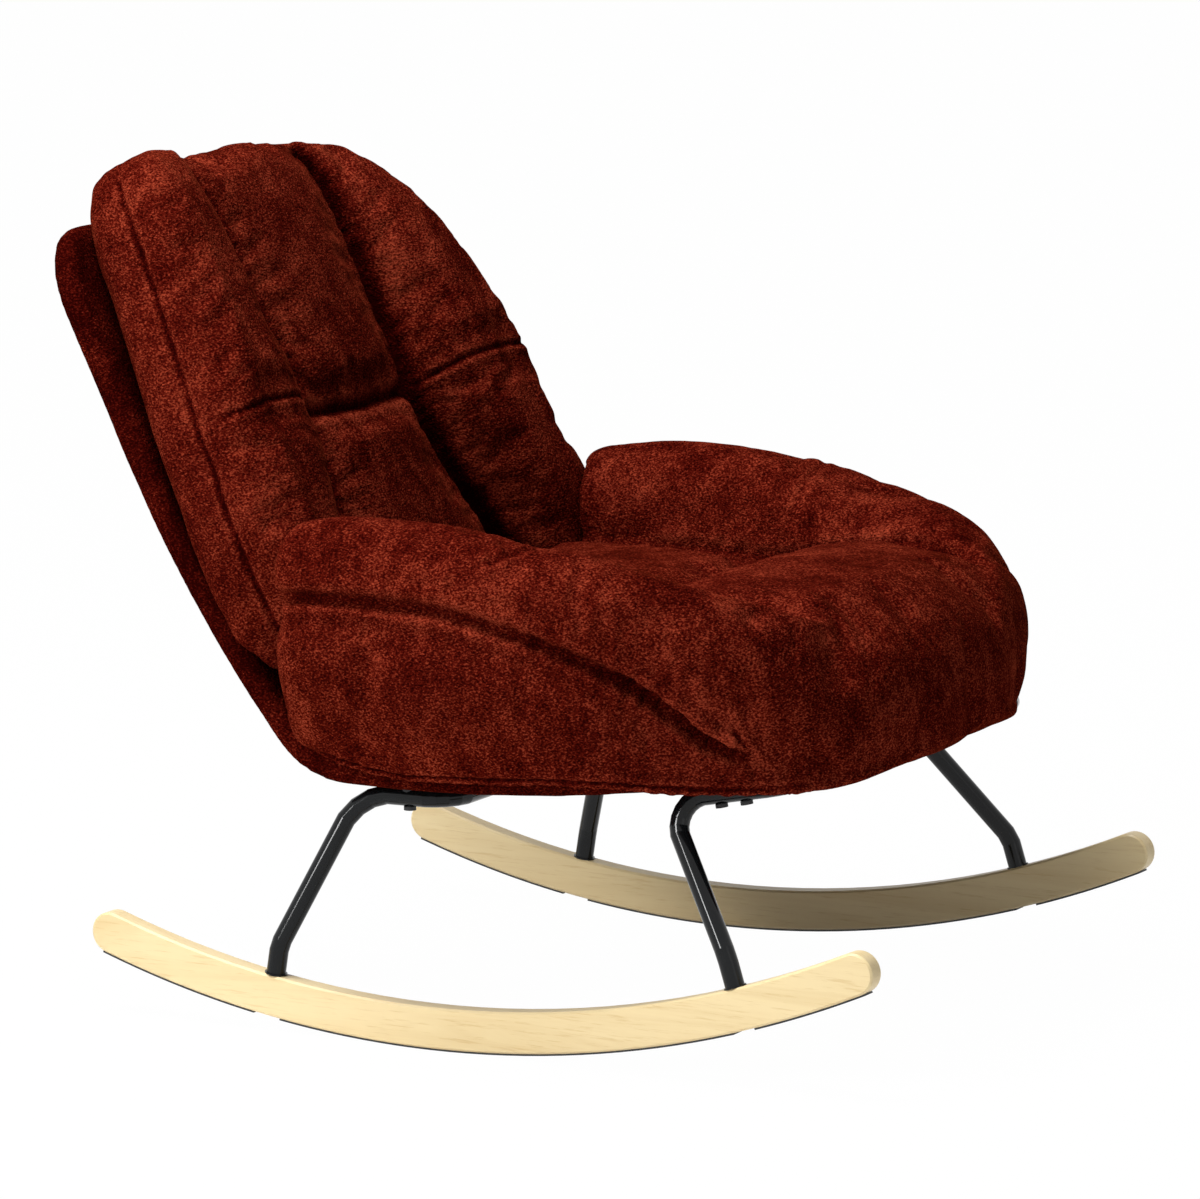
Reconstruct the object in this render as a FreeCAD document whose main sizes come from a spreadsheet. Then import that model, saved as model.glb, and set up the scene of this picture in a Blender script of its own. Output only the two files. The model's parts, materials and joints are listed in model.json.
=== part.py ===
import FreeCAD, Part
import math
import os
import Sketcher
from FreeCAD import Placement, Rotation, Vector

# Rocking armchair: two curved wooden rockers, two bent tube leg frames, a moulded
# shell and two channelled cushions. Millimetres, +X to the front, +Z up, and the
# sitter's right hand on -Y. Lengths below are measured from the point where the
# rockers touch the floor; contact_x then puts the origin under the chair's middle.

doc = FreeCAD.newDocument("rocking_armchair")

# Driving sizes in millimetres
SIZES = [
    ("contact_x", -12.7),
    ("contact_flat", 16.0),
    ("fit_gap", 0.3),
    ("bore_gap", 0.1),
    ("overrun", 20.0),
    ("clearance_depth", 60.0),
    # Rockers and their glide strips
    ("rocker_spacing", 633.0),
    ("rocker_radius", 1136.9),
    ("rocker_thickness", 21.0),
    ("rocker_depth", 40.4),
    ("rocker_front_reach", 457.9),
    ("rocker_rear_reach", 350.1),
    ("rocker_edge_easing", 2.0),
    ("strip_thickness", 1.8),
    ("strip_width", 17.0),
    ("rear_strip_start", -358.7),
    ("rear_strip_end", -187.5),
    ("middle_strip_start", -158.6),
    ("middle_strip_end", 334.2),
    ("front_strip_start", 356.3),
    ("front_strip_end", 470.1),
    # Bent tube leg frames
    ("tube_diameter", 19.0),
    ("tube_wall", 1.5),
    ("saddle_thickness", 1.6),
    ("rear_foot_x", -166.9),
    ("front_foot_x", 331.6),
    ("rear_stub", 29.0),
    ("front_stub", 31.0),
    ("foot_bend", 50.0),
    ("rear_knee_bend", 55.0),
    ("front_knee_bend", 28.0),
    ("corner_bend", 34.0),
    ("rear_run_spacing", 516.8),
    ("rear_knee_x", -105.0),
    ("rear_cross_x", -5.0),
    ("front_run_spacing", 512.8),
    ("front_knee_x", 228.0),
    ("front_cross_x", 360.0),
    # Feet: flange, threaded plug and bolt
    ("flange_diameter", 22.0),
    ("flange_thickness", 1.5),
    ("plug_length", 15.0),
    ("foot_bolt_diameter", 6.0),
    ("foot_bolt_reach", 14.0),
    ("foot_bolt_head", 10.0),
    ("foot_bolt_head_depth", 5.0),
    ("foot_bolt_socket", 5.0),
    ("foot_counterbore", 14.0),
    ("foot_counterbore_depth", 10.0),
    ("foot_washer_diameter", 13.0),
    ("foot_washer_thickness", 1.6),
    # Frame bolts with saddle washers and tee nuts
    ("frame_bolt_diameter", 6.0),
    ("frame_bolt_head", 12.0),
    ("frame_bolt_head_depth", 3.6),
    ("frame_bolt_socket", 4.0),
    ("rear_bolt_x", -50.0),
    ("rear_cross_bolt_spacing", 260.0),
    ("front_bolt_back_x", 282.0),
    ("front_bolt_front_x", 308.0),
    ("saddle_diameter", 16.0),
    ("tee_nut_flange", 19.0),
    ("tee_nut_flange_depth", 1.5),
    ("tee_nut_barrel", 8.0),
    ("tee_nut_length", 9.0),
    # Moulded shell
    ("shell_width", 592.0),
    ("shell_thickness", 28.0),
    ("shell_low_x", -60.0),
    ("shell_low_z", 241.5),
    ("shell_seat_radius", 1800.0),
    ("shell_bend_x", -105.0),
    ("shell_bend_radius", 100.0),
    ("shell_lumbar_radius", 1440.0),
    ("shell_front_x", 376.0),
    ("shell_top_z", 760.0),
    ("shell_top_corner", 72.0),
    ("shell_front_corner", 135.0),
    ("shell_edge_easing", 7.0),
    ("core_under", 6.0),
    ("core_thickness", 12.0),
    ("core_inset", 12.0),
    # Hook and loop strips
    ("grip_thickness", 1.6),
    ("grip_width", 50.0),
    ("grip_spacing", 300.0),
    ("grip_back_low_z", 580.0),
    ("grip_back_high_z", 720.0),
    ("grip_seat_start", 40.0),
    ("grip_seat_end", 240.0),
    # Back cushion, measured up the shell's straight back and out from its face
    ("back_width", 624.0),
    ("back_low", -281.0),
    ("back_cross_seam", -29.0),
    ("back_high", 267.0),
    ("back_thickness", 118.0),
    ("back_foam_width", 420.0),
    ("back_foam_low", -150.0),
    ("back_foam_high", 190.0),
    ("back_foam_lift", 16.0),
    ("back_foam_depth", 28.0),
    # Seat cushion
    ("seat_width", 758.0),
    ("seat_rear_x", -148.0),
    ("seat_cross_seam_x", 110.0),
    ("seat_front_x", 430.0),
    ("seat_bottom_z", 268.0),
    ("seat_arm_z", 506.0),
    ("seat_foam_width", 400.0),
    ("seat_foam_rear_x", -40.0),
    ("seat_foam_front_x", 300.0),
    ("seat_foam_lift", 12.0),
    ("seat_foam_depth", 50.0),
    ("foam_corner", 40.0),
]

sheet = doc.addObject("Spreadsheet::Sheet", "sizes")
for row, (alias, value) in enumerate(SIZES, start=1):
    sheet.set("A%d" % row, alias)
    sheet.set("B%d" % row, str(value))
    sheet.setAlias("B%d" % row, alias)
doc.recompute()


def size(alias):
    return float(getattr(sheet, alias))


# Directions and turns that no length changes
BEND_END_DEGREES = 51.0
BACK_DEGREES = 64.0
BEND_STEP_DEGREES = 18.0
SIDES = (("right", -1), ("left", 1))
STAND = Placement(Vector(size("contact_x"), 0, 0), Rotation())
CENTRE_HEIGHT = math.sqrt(size("rocker_radius") ** 2 - (size("contact_flat") / 2) ** 2)
ROCKER_BOTTOM = size("rocker_radius") - size("strip_thickness")
ROCKER_TOP = ROCKER_BOTTOM - size("rocker_depth")
NODES = []


def keep(name, obj):
    obj.Label = name
    NODES.append(obj)
    return obj


def feature(name, shape):
    """A shape worked out from the sheet, set down with the origin under the chair's middle."""
    obj = doc.addObject("Part::Feature", name)
    obj.Shape = shape
    obj.Placement = STAND.multiply(obj.Placement)
    return obj


def along(point, direction):
    """A placement at a point whose Z axis lies along a direction."""
    return Placement(point, Rotation(Vector(0, 0, 1), direction))


def cylinder(radius, start, end, where):
    rod = Part.makeCylinder(radius, end - start, Vector(0, 0, start))
    rod.Placement = where
    return rod


def group(shapes):
    return Part.makeCompound(shapes)


# Sketch helpers
def sketch_on_side(body, name):
    """A sketch on the body's own XZ plane: the sketch's Y is the chair's Z."""
    sketch = body.newObject("Sketcher::SketchObject", name)
    plane = [f for f in body.Origin.OriginFeatures if f.Role == "XZ_Plane"][0]
    sketch.AttachmentSupport = [(plane, "")]
    sketch.MapMode = "FlatFace"
    return sketch


def arc(centre, radius, start, end):
    return Part.ArcOfCircle(Part.Circle(centre, Vector(0, 0, 1), radius), start, end)


def bind(sketch, constraint, expression):
    index = sketch.addConstraint(constraint)
    sketch.setExpression("Constraints[%d]" % index, expression)


# Rockers
def rocker_blank(side, sign):
    body = doc.addObject("PartDesign::Body", side + "_rocker_blank")
    sketch = sketch_on_side(body, side + "_rocker_outline")
    centre = Vector(0, CENTRE_HEIGHT, 0)
    cap = size("rocker_depth") / 2
    middle = ROCKER_BOTTOM - cap
    front = math.asin(size("rocker_front_reach") / middle) - math.pi / 2
    rear = -math.asin(size("rocker_rear_reach") / middle) - math.pi / 2
    front_centre = centre + Vector(middle * math.cos(front), middle * math.sin(front), 0)
    rear_centre = centre + Vector(middle * math.cos(rear), middle * math.sin(rear), 0)
    bottom = sketch.addGeometry(arc(centre, ROCKER_BOTTOM, rear, front))
    nose = sketch.addGeometry(arc(front_centre, cap, front, front + math.pi))
    top = sketch.addGeometry(arc(centre, ROCKER_TOP, rear, front))
    tail = sketch.addGeometry(arc(rear_centre, cap, rear + math.pi, rear + 2 * math.pi))
    rule = Sketcher.Constraint
    sketch.addConstraint(rule("Coincident", bottom, 3, top, 3))
    sketch.addConstraint(rule("PointOnObject", bottom, 3, -2))
    sketch.addConstraint(rule("Tangent", bottom, 2, nose, 1))
    sketch.addConstraint(rule("Tangent", nose, 2, top, 2))
    sketch.addConstraint(rule("Tangent", top, 1, tail, 1))
    sketch.addConstraint(rule("Tangent", tail, 2, bottom, 1))
    height = "sqrt(sizes.rocker_radius ^ 2 - (sizes.contact_flat / 2) ^ 2)"
    bind(sketch, rule("DistanceY", -1, 1, bottom, 3, CENTRE_HEIGHT), height)
    bind(sketch, rule("Radius", bottom, ROCKER_BOTTOM), "sizes.rocker_radius - sizes.strip_thickness")
    bind(sketch, rule("Radius", top, ROCKER_TOP),
         "sizes.rocker_radius - sizes.strip_thickness - sizes.rocker_depth")
    bind(sketch, rule("DistanceX", -1, 1, nose, 3, size("rocker_front_reach")), "sizes.rocker_front_reach")
    bind(sketch, rule("DistanceX", tail, 3, -1, 1, size("rocker_rear_reach")), "sizes.rocker_rear_reach")
    pad = body.newObject("PartDesign::Pad", side + "_rocker_board")
    pad.Profile = sketch
    pad.Midplane = True
    pad.setExpression("Length", "sizes.rocker_thickness")
    doc.recompute()
    flat_edges = [
        "Edge%d" % (i + 1)
        for i, edge in enumerate(pad.Shape.Edges)
        if edge.BoundBox.YLength < size("rocker_thickness") / 2
    ]
    easing = body.newObject("PartDesign::Chamfer", side + "_rocker_easing")
    easing.Base = (pad, flat_edges)
    easing.setExpression("Size", "sizes.rocker_edge_easing")
    body.Placement = Placement(
        Vector(size("contact_x"), sign * size("rocker_spacing") / 2, 0), Rotation()
    )
    body.setExpression("Placement.Base.y", "%d * sizes.rocker_spacing / 2" % sign)
    body.setExpression("Placement.Base.x", "sizes.contact_x")
    return body


def foot_axis(foot_x, sign):
    """The radial line through a foot: its zero is where it crosses the rocker's top face."""
    lean = math.asin(foot_x / ROCKER_TOP)
    point = Vector(
        ROCKER_TOP * math.sin(lean),
        sign * size("rocker_spacing") / 2,
        CENTRE_HEIGHT - ROCKER_TOP * math.cos(lean),
    )
    return along(point, Vector(-math.sin(lean), 0, math.cos(lean)))


def feet(signs=(-1, 1)):
    return [foot_axis(size(name), sign) for sign in signs for name in ("rear_foot_x", "front_foot_x")]


def foot_hole(where):
    bolt = size("foot_bolt_diameter") / 2 + size("bore_gap")
    depth = size("rocker_depth")
    hole = cylinder(bolt, -depth - size("overrun"), size("overrun"), where)
    head = cylinder(size("foot_counterbore") / 2, -depth - size("overrun"),
                    size("foot_counterbore_depth") - depth, where)
    return hole.fuse(head)


def rockers():
    for side, sign in SIDES:
        blank = rocker_blank(side, sign)
        holes = feature(side + "_rocker_holes", group([foot_hole(f) for f in feet((sign,))]))
        drilled = doc.addObject("Part::Cut", "rocker_" + side)
        drilled.Base = blank
        drilled.Tool = holes
        keep("rocker_" + side, drilled)


# Glide strips
def strip_body(name, start, end, sign):
    body = doc.addObject("PartDesign::Body", name + "_body")
    sketch = sketch_on_side(body, name + "_outline")
    centre = Vector(0, CENTRE_HEIGHT, 0)
    outer_radius = size("rocker_radius")
    first = math.asin(size(start) / outer_radius) - math.pi / 2
    last = math.asin(size(end) / outer_radius) - math.pi / 2

    def on(radius, angle):
        return centre + Vector(radius * math.cos(angle), radius * math.sin(angle), 0)

    outer = sketch.addGeometry(arc(centre, outer_radius, first, last))
    inner = sketch.addGeometry(arc(centre, ROCKER_BOTTOM, first, last))
    rear = sketch.addGeometry(Part.LineSegment(on(outer_radius, first), on(ROCKER_BOTTOM, first)))
    front = sketch.addGeometry(Part.LineSegment(on(outer_radius, last), on(ROCKER_BOTTOM, last)))
    rule = Sketcher.Constraint
    sketch.addConstraint(rule("Coincident", outer, 3, inner, 3))
    sketch.addConstraint(rule("PointOnObject", outer, 3, -2))
    sketch.addConstraint(rule("Coincident", outer, 1, rear, 1))
    sketch.addConstraint(rule("Coincident", outer, 2, front, 1))
    sketch.addConstraint(rule("Coincident", inner, 1, rear, 2))
    sketch.addConstraint(rule("Coincident", inner, 2, front, 2))
    sketch.addConstraint(rule("PointOnObject", outer, 3, rear))
    sketch.addConstraint(rule("PointOnObject", outer, 3, front))
    height = "sqrt(sizes.rocker_radius ^ 2 - (sizes.contact_flat / 2) ^ 2)"
    bind(sketch, rule("DistanceY", -1, 1, outer, 3, CENTRE_HEIGHT), height)
    bind(sketch, rule("Radius", outer, outer_radius), "sizes.rocker_radius")
    bind(sketch, rule("Radius", inner, ROCKER_BOTTOM), "sizes.rocker_radius - sizes.strip_thickness")
    bind(sketch, rule("DistanceX", -1, 1, outer, 1, size(start)), "sizes." + start)
    bind(sketch, rule("DistanceX", -1, 1, outer, 2, size(end)), "sizes." + end)
    pad = body.newObject("PartDesign::Pad", name + "_pad")
    pad.Profile = sketch
    pad.Midplane = True
    pad.setExpression("Length", "sizes.strip_width")
    body.setExpression("Placement.Base.y", "%d * sizes.rocker_spacing / 2" % sign)
    body.setExpression("Placement.Base.x", "sizes.contact_x")
    return body


def glide_strips():
    for side, sign in SIDES:
        for place in ("rear", "middle", "front"):
            name = "glide_strip_%s_%s" % (place, side)
            body = strip_body(name, place + "_strip_start", place + "_strip_end", sign)
            if place != "middle":
                keep(name, body)
                continue
            below = doc.addObject("Part::Box", "floor_under_" + side)
            below.setExpression("Length", "sizes.contact_flat + 2 * sizes.overrun")
            below.setExpression("Width", "sizes.strip_width + 2 * sizes.overrun")
            below.setExpression("Height", "sizes.overrun")
            below.setExpression("Placement.Base.x", "sizes.contact_x - sizes.contact_flat / 2 - sizes.overrun")
            below.setExpression(
                "Placement.Base.y",
                "%d * sizes.rocker_spacing / 2 - sizes.strip_width / 2 - sizes.overrun" % sign,
            )
            below.setExpression("Placement.Base.z", "-sizes.overrun")
            worn = doc.addObject("Part::Cut", name)
            worn.Base = body
            worn.Tool = below
            keep(name, worn)


# The shell's side profile: arcs whose centres all lie in front of and above it
def shell_arcs():
    """Centre, outer radius, start and end angle of each arc from the seat's front to the back."""
    seat = size("shell_seat_radius")
    first_centre = Vector(size("shell_low_x"), 0, size("shell_low_z") + seat)
    begin = -math.asin((size("shell_front_x") + size("overrun") - size("shell_low_x")) / seat)
    turn = math.asin((size("shell_low_x") - size("shell_bend_x")) / seat)
    radii = (seat, size("shell_bend_radius"), size("shell_lumbar_radius"))
    ends = (turn, math.radians(BEND_END_DEGREES), math.radians(BACK_DEGREES))
    arcs = []
    centre = first_centre
    for index, (radius, end) in enumerate(zip(radii, ends)):
        if index:
            last = radii[index - 1]
            inward = Vector(math.sin(begin), 0, math.cos(begin))
            centre = centre + inward * (radius - last)
        arcs.append((centre, radius, begin, end))
        begin = end
    return arcs


def profile_point(centre, radius, angle):
    return centre + Vector(-math.sin(angle), 0, -math.cos(angle)) * radius


def profile_edges(lift):
    """The profile line at a height above the shell's outer face, from front to top."""
    edges = []
    for centre, radius, begin, end in shell_arcs():
        reach = radius - lift
        a, b, c = [profile_point(centre, reach, t) for t in (begin, (begin + end) / 2, end)]
        edges.append(Part.Arc(a, b, c).toShape())
    rise = Vector(-math.cos(end), 0, math.sin(end))
    length = (size("shell_top_z") + size("overrun") + size("shell_thickness") - c.z) / rise.z
    edges.append(Part.LineSegment(c, c + rise * length).toShape())
    return edges


def profile_slab(low, high, width):
    """The band between two heights of the profile, across a width about the middle."""
    under, over = profile_edges(low), profile_edges(high)
    first = Part.LineSegment(under[0].firstVertex().Point, over[0].firstVertex().Point).toShape()
    last = Part.LineSegment(under[-1].lastVertex().Point, over[-1].lastVertex().Point).toShape()
    wire = Part.Wire(Part.__sortEdges__(under + over + [first, last]))
    face = Part.Face(wire)
    slab = face.extrude(Vector(0, width, 0))
    slab.translate(Vector(0, -width / 2, 0))
    return slab


def rounded_front(grow):
    """The shell's plan outline, as a tall block with two rounded front corners."""
    half = size("shell_width") / 2 + grow
    corner = size("shell_front_corner") + grow
    front = size("shell_front_x") + grow
    back = size("shell_bend_x") - size("shell_top_z")
    tall = size("shell_top_z") + 2 * size("overrun")
    c = corner * (1 - math.sqrt(0.5))
    edges = [
        Part.LineSegment(Vector(back, -half, 0), Vector(front - corner, -half, 0)).toShape(),
        Part.Arc(Vector(front - corner, -half, 0), Vector(front - c, -half + c, 0),
                 Vector(front, -half + corner, 0)).toShape(),
        Part.LineSegment(Vector(front, -half + corner, 0), Vector(front, half - corner, 0)).toShape(),
        Part.Arc(Vector(front, half - corner, 0), Vector(front - c, half - c, 0),
                 Vector(front - corner, half, 0)).toShape(),
        Part.LineSegment(Vector(front - corner, half, 0), Vector(back, half, 0)).toShape(),
        Part.LineSegment(Vector(back, half, 0), Vector(back, -half, 0)).toShape(),
    ]
    return Part.Face(Part.Wire(edges)).extrude(Vector(0, 0, tall))


def rounded_top(grow):
    """The shell's front outline, as a long block with two rounded top corners."""
    half = size("shell_width") / 2 + grow
    corner = size("shell_top_corner") + grow
    top = size("shell_top_z") + grow
    rear = size("shell_bend_x") - size("shell_top_z")
    length = size("shell_front_x") + size("overrun") - rear
    c = corner * (1 - math.sqrt(0.5))
    edges = [
        Part.LineSegment(Vector(rear, -half, 0), Vector(rear, -half, top - corner)).toShape(),
        Part.Arc(Vector(rear, -half, top - corner), Vector(rear, -half + c, top - c),
                 Vector(rear, -half + corner, top)).toShape(),
        Part.LineSegment(Vector(rear, -half + corner, top), Vector(rear, half - corner, top)).toShape(),
        Part.Arc(Vector(rear, half - corner, top), Vector(rear, half - c, top - c),
                 Vector(rear, half, top - corner)).toShape(),
        Part.LineSegment(Vector(rear, half, top - corner), Vector(rear, half, 0)).toShape(),
        Part.LineSegment(Vector(rear, half, 0), Vector(rear, -half, 0)).toShape(),
    ]
    return Part.Face(Part.Wire(edges)).extrude(Vector(length, 0, 0))


def shell_block(low, high, grow):
    """The shell between two heights of its profile, its outline grown all round."""
    slab = profile_slab(low, high, size("shell_width") + 2 * size("overrun"))
    return slab.common(rounded_front(grow)).common(rounded_top(grow))


def seat_point(x, lift):
    """A point over the seat's outer face at x, and the face's outward direction there."""
    centre, radius, begin, end = shell_arcs()[0]
    angle = -math.asin((x - centre.x) / radius)
    outward = Vector(-math.sin(angle), 0, -math.cos(angle))
    return centre + outward * (radius - lift), outward


# Where the frames bolt to the shell: each site's Z axis runs up into the shell. On each
# side two bolts pass through the rear frame and two through the front frame.
SIDE_BOLT_RUNS = ("side", "cross", "side", "side")


def bolt_site(x, y):
    point, outward = seat_point(x, 0)
    return along(Vector(point.x, y, point.z), outward * -1)


def bolt_sites():
    sites = []
    for sign in (-1, 1):
        rear_run = sign * size("rear_run_spacing") / 2
        front_run = sign * size("front_run_spacing") / 2
        sites.append(bolt_site(size("rear_bolt_x"), rear_run))
        sites.append(bolt_site(size("rear_cross_x"), sign * size("rear_cross_bolt_spacing") / 2))
        sites.append(bolt_site(size("front_bolt_back_x"), front_run))
        sites.append(bolt_site(size("front_bolt_front_x"), front_run))
    return sites


TUBE_DROP = size("tube_diameter") / 2 + size("saddle_thickness")


# Leg frames
def bent_path(points, radii):
    """Straight runs joined by bends: short lengths, each touching the bend's true arc."""
    corners = [points[0]]
    for before, point, after, radius in zip(points, points[1:], points[2:], radii):
        arriving = (point - before).normalize()
        leaving = (after - point).normalize()
        turn = arriving.getAngle(leaving)
        axis = arriving.cross(leaving).normalize()
        first = point - arriving * radius * math.tan(turn / 2)
        centre = first + axis.cross(arriving) * radius
        steps = math.ceil(math.degrees(turn) / BEND_STEP_DEGREES)
        reach = radius * math.tan(turn / steps / 2)
        for step in range(steps):
            bend = Rotation(axis, math.degrees(turn) * step / steps)
            corners.append(centre + bend.multVec(first - centre + arriving * reach))
    return Part.makePolygon(corners + [points[-1]])


def rod_along(path, radius):
    start = path.Edges[0]
    point = start.valueAt(start.FirstParameter)
    direction = start.tangentAt(start.FirstParameter)
    ring = Part.Wire(Part.makeCircle(radius, point, direction))
    return path.makePipeShell([ring], True, False, 1)


def frame_path(foot_x, stub, knee_x, run_spacing, cross_x, bolt_xs, bends):
    first, second = [seat_point(x, -TUBE_DROP)[0] for x in bolt_xs]
    slope = (second.z - first.z) / (second.x - first.x)

    def on_run(x, sign):
        return Vector(x, sign * run_spacing / 2, first.z + slope * (x - first.x))

    lift = size("bore_gap") + size("flange_thickness")
    sides = []
    for sign in (-1, 1):
        foot = foot_axis(foot_x, sign)
        sides.append([
            foot.multVec(Vector(0, 0, lift)),
            foot.multVec(Vector(0, 0, stub)),
            on_run(knee_x, sign),
            on_run(cross_x, sign),
        ])
    right, left = sides
    return bent_path(right + left[::-1], bends + bends[::-1])


def leg_frame(name, path, sites):
    outer = rod_along(path, size("tube_diameter") / 2)
    inner = rod_along(path, size("tube_diameter") / 2 - size("tube_wall"))
    bolt = size("frame_bolt_diameter") / 2 + size("bore_gap")
    holes = [cylinder(bolt, -TUBE_DROP - size("tube_diameter"), 0, site) for site in sites]
    return keep(name, feature(name, outer.cut(inner).cut(group(holes))))


def leg_frames():
    sites = bolt_sites()
    rear_path = frame_path(
        size("rear_foot_x"), size("rear_stub"), size("rear_knee_x"),
        size("rear_run_spacing"), size("rear_cross_x"),
        (size("rear_bolt_x"), size("rear_cross_x")),
        [size("foot_bend"), size("rear_knee_bend"), size("corner_bend")],
    )
    front_path = frame_path(
        size("front_foot_x"), size("front_stub"), size("front_knee_x"),
        size("front_run_spacing"), size("front_cross_x"),
        (size("front_bolt_back_x"), size("front_bolt_front_x")),
        [size("foot_bend"), size("front_knee_bend"), size("corner_bend")],
    )
    leg_frame("rear_leg_frame", rear_path, sites[0:2] + sites[4:6])
    leg_frame("front_leg_frame", front_path, sites[2:4] + sites[6:8])
    return front_path


def tube_clearance(path):
    """The room that a cushion leaves round a frame's tube and just below it."""
    rod = rod_along(path, size("tube_diameter") / 2 + size("fit_gap"))
    lower = rod.copy()
    lower.translate(Vector(0, 0, -size("tube_diameter") / 2))
    return rod.fuse(lower)


# Feet and their bolts
def socket(across, depth, where):
    """A hexagon socket of a width across flats, cut up from zero."""
    radius = across / math.sqrt(3)
    corners = [
        Vector(radius * math.cos(i * math.pi / 3), radius * math.sin(i * math.pi / 3), 0)
        for i in range(7)
    ]
    prism = Part.Face(Part.makePolygon(corners)).extrude(Vector(0, 0, depth))
    prism.Placement = where
    return prism


def cap_bolt(head, head_depth, socket_width, shank, head_start, end, where):
    """A socket head bolt along a placement's Z axis, its head at the lower end."""
    body = cylinder(head / 2, head_start, head_start + head_depth, where)
    body = body.fuse(cylinder(shank / 2, head_start, end, where))
    low = where.multiply(Placement(Vector(0, 0, head_start), Rotation()))
    return body.cut(socket(socket_width, head_depth / 2, low)).removeSplitter()


def ring(outer, inner, start, end, where):
    return cylinder(outer / 2, start, end, where).cut(cylinder(inner / 2, start, end, where))


def foot_hardware():
    gap = size("bore_gap")
    hole = size("foot_bolt_diameter") + 2 * gap
    flange_top = gap + size("flange_thickness")
    bore = size("tube_diameter") - 2 * size("tube_wall") - 2 * gap
    seat = size("foot_counterbore_depth") - size("rocker_depth")
    washer_low = seat - size("foot_washer_thickness")
    flanges, plugs, washers, bolts = [], [], [], []
    for foot in feet():
        flanges.append(ring(size("flange_diameter"), hole, gap, flange_top, foot))
        plugs.append(ring(bore, hole, flange_top, flange_top + size("plug_length"), foot))
        washers.append(ring(size("foot_washer_diameter"), hole, washer_low, seat, foot))
        bolts.append(cap_bolt(
            size("foot_bolt_head"), size("foot_bolt_head_depth"), size("foot_bolt_socket"),
            size("foot_bolt_diameter"), washer_low - size("foot_bolt_head_depth"),
            size("foot_bolt_reach"), foot,
        ))
    keep("foot_flanges", feature("foot_flanges", group(flanges)))
    keep("leg_end_plugs", feature("leg_end_plugs", group(plugs)))
    keep("rocker_bolt_washers", feature("rocker_bolt_washers", group(washers)))
    keep("rocker_bolts", feature("rocker_bolts", group(bolts)))


# Bolts, saddle washers and tee nuts that join the frames to the shell
def tube_at(site, run, radius):
    """A straight piece of tube below a bolt site, along the run of tube that passes there."""
    point = site.multVec(Vector(0, 0, -TUBE_DROP))
    direction = Vector(0, 1, 0) if run == "cross" else site.Rotation.multVec(Vector(1, 0, 0))
    reach = size("saddle_diameter")
    return Part.makeCylinder(radius, 2 * reach, point - direction * reach, direction)


def frame_hardware():
    gap = size("bore_gap")
    hole = size("frame_bolt_diameter") + 2 * gap
    head_top = -TUBE_DROP - size("tube_diameter") / 2 - gap
    core_top = size("core_under") + size("core_thickness")
    flange_low = core_top - size("tee_nut_flange_depth")
    saddles, nuts, bolts = [], [], []
    for site, run in zip(bolt_sites(), 2 * SIDE_BOLT_RUNS):
        saddle = ring(size("saddle_diameter"), hole, -TUBE_DROP, 0, site)
        saddles.append(saddle.cut(tube_at(site, run, size("tube_diameter") / 2 + gap)))
        nut = cylinder(size("tee_nut_flange") / 2, flange_low, core_top - gap, site)
        nut = nut.fuse(cylinder(size("tee_nut_barrel") / 2, core_top - size("tee_nut_length"),
                                core_top - gap, site))
        nuts.append(nut.cut(cylinder(hole / 2, 0, size("shell_thickness"), site)).removeSplitter())
        bolts.append(cap_bolt(
            size("frame_bolt_head"), size("frame_bolt_head_depth"), size("frame_bolt_socket"),
            size("frame_bolt_diameter"), head_top - size("frame_bolt_head_depth"),
            core_top - gap, site,
        ))
    keep("saddle_washers", feature("saddle_washers", group(saddles)))
    keep("tee_nuts", feature("tee_nuts", group(nuts)))
    keep("frame_bolts", feature("frame_bolts", group(bolts)))


# Shell: a bent plywood core in an upholstered cover
def shell():
    gap = size("bore_gap")
    core_top = size("core_under") + size("core_thickness")
    core = shell_block(size("core_under"), core_top, -size("core_inset"))
    cavity = shell_block(size("core_under") - gap, core_top + gap, gap - size("core_inset"))
    cover = shell_block(0, size("shell_thickness"), 0)
    half = size("shell_width") / 2
    rim = [edge for edge in cover.Edges if is_rim(edge)]
    cover = cover.makeChamfer(size("shell_edge_easing"), rim).cut(cavity)
    for site in bolt_sites():
        bolt = size("frame_bolt_diameter") / 2 + gap
        flange_low = core_top - size("tee_nut_flange_depth") - gap
        cover = cover.cut(cylinder(bolt, -size("overrun"), size("core_under"), site))
        core = core.cut(cylinder(size("tee_nut_barrel") / 2 + gap, 0, size("shell_thickness"), site))
        core = core.cut(cylinder(size("tee_nut_flange") / 2 + gap, flange_low,
                                 size("shell_thickness"), site))
    keep("shell_core", feature("shell_core", core))
    keep("shell_cover", feature("shell_cover", cover))


def is_rim(edge):
    """True for the outline's edges: a seam across the shell runs its whole width along Y."""
    box = edge.BoundBox
    across = box.XLength < size("bore_gap") and box.ZLength < size("bore_gap")
    at_end = box.ZMin > size("shell_top_z") - size("bore_gap")
    at_end = at_end or box.XMin > size("shell_front_x") - size("bore_gap")
    through = edge.Length < 2 * size("shell_thickness") and not across
    return at_end or not (across or through)


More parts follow.
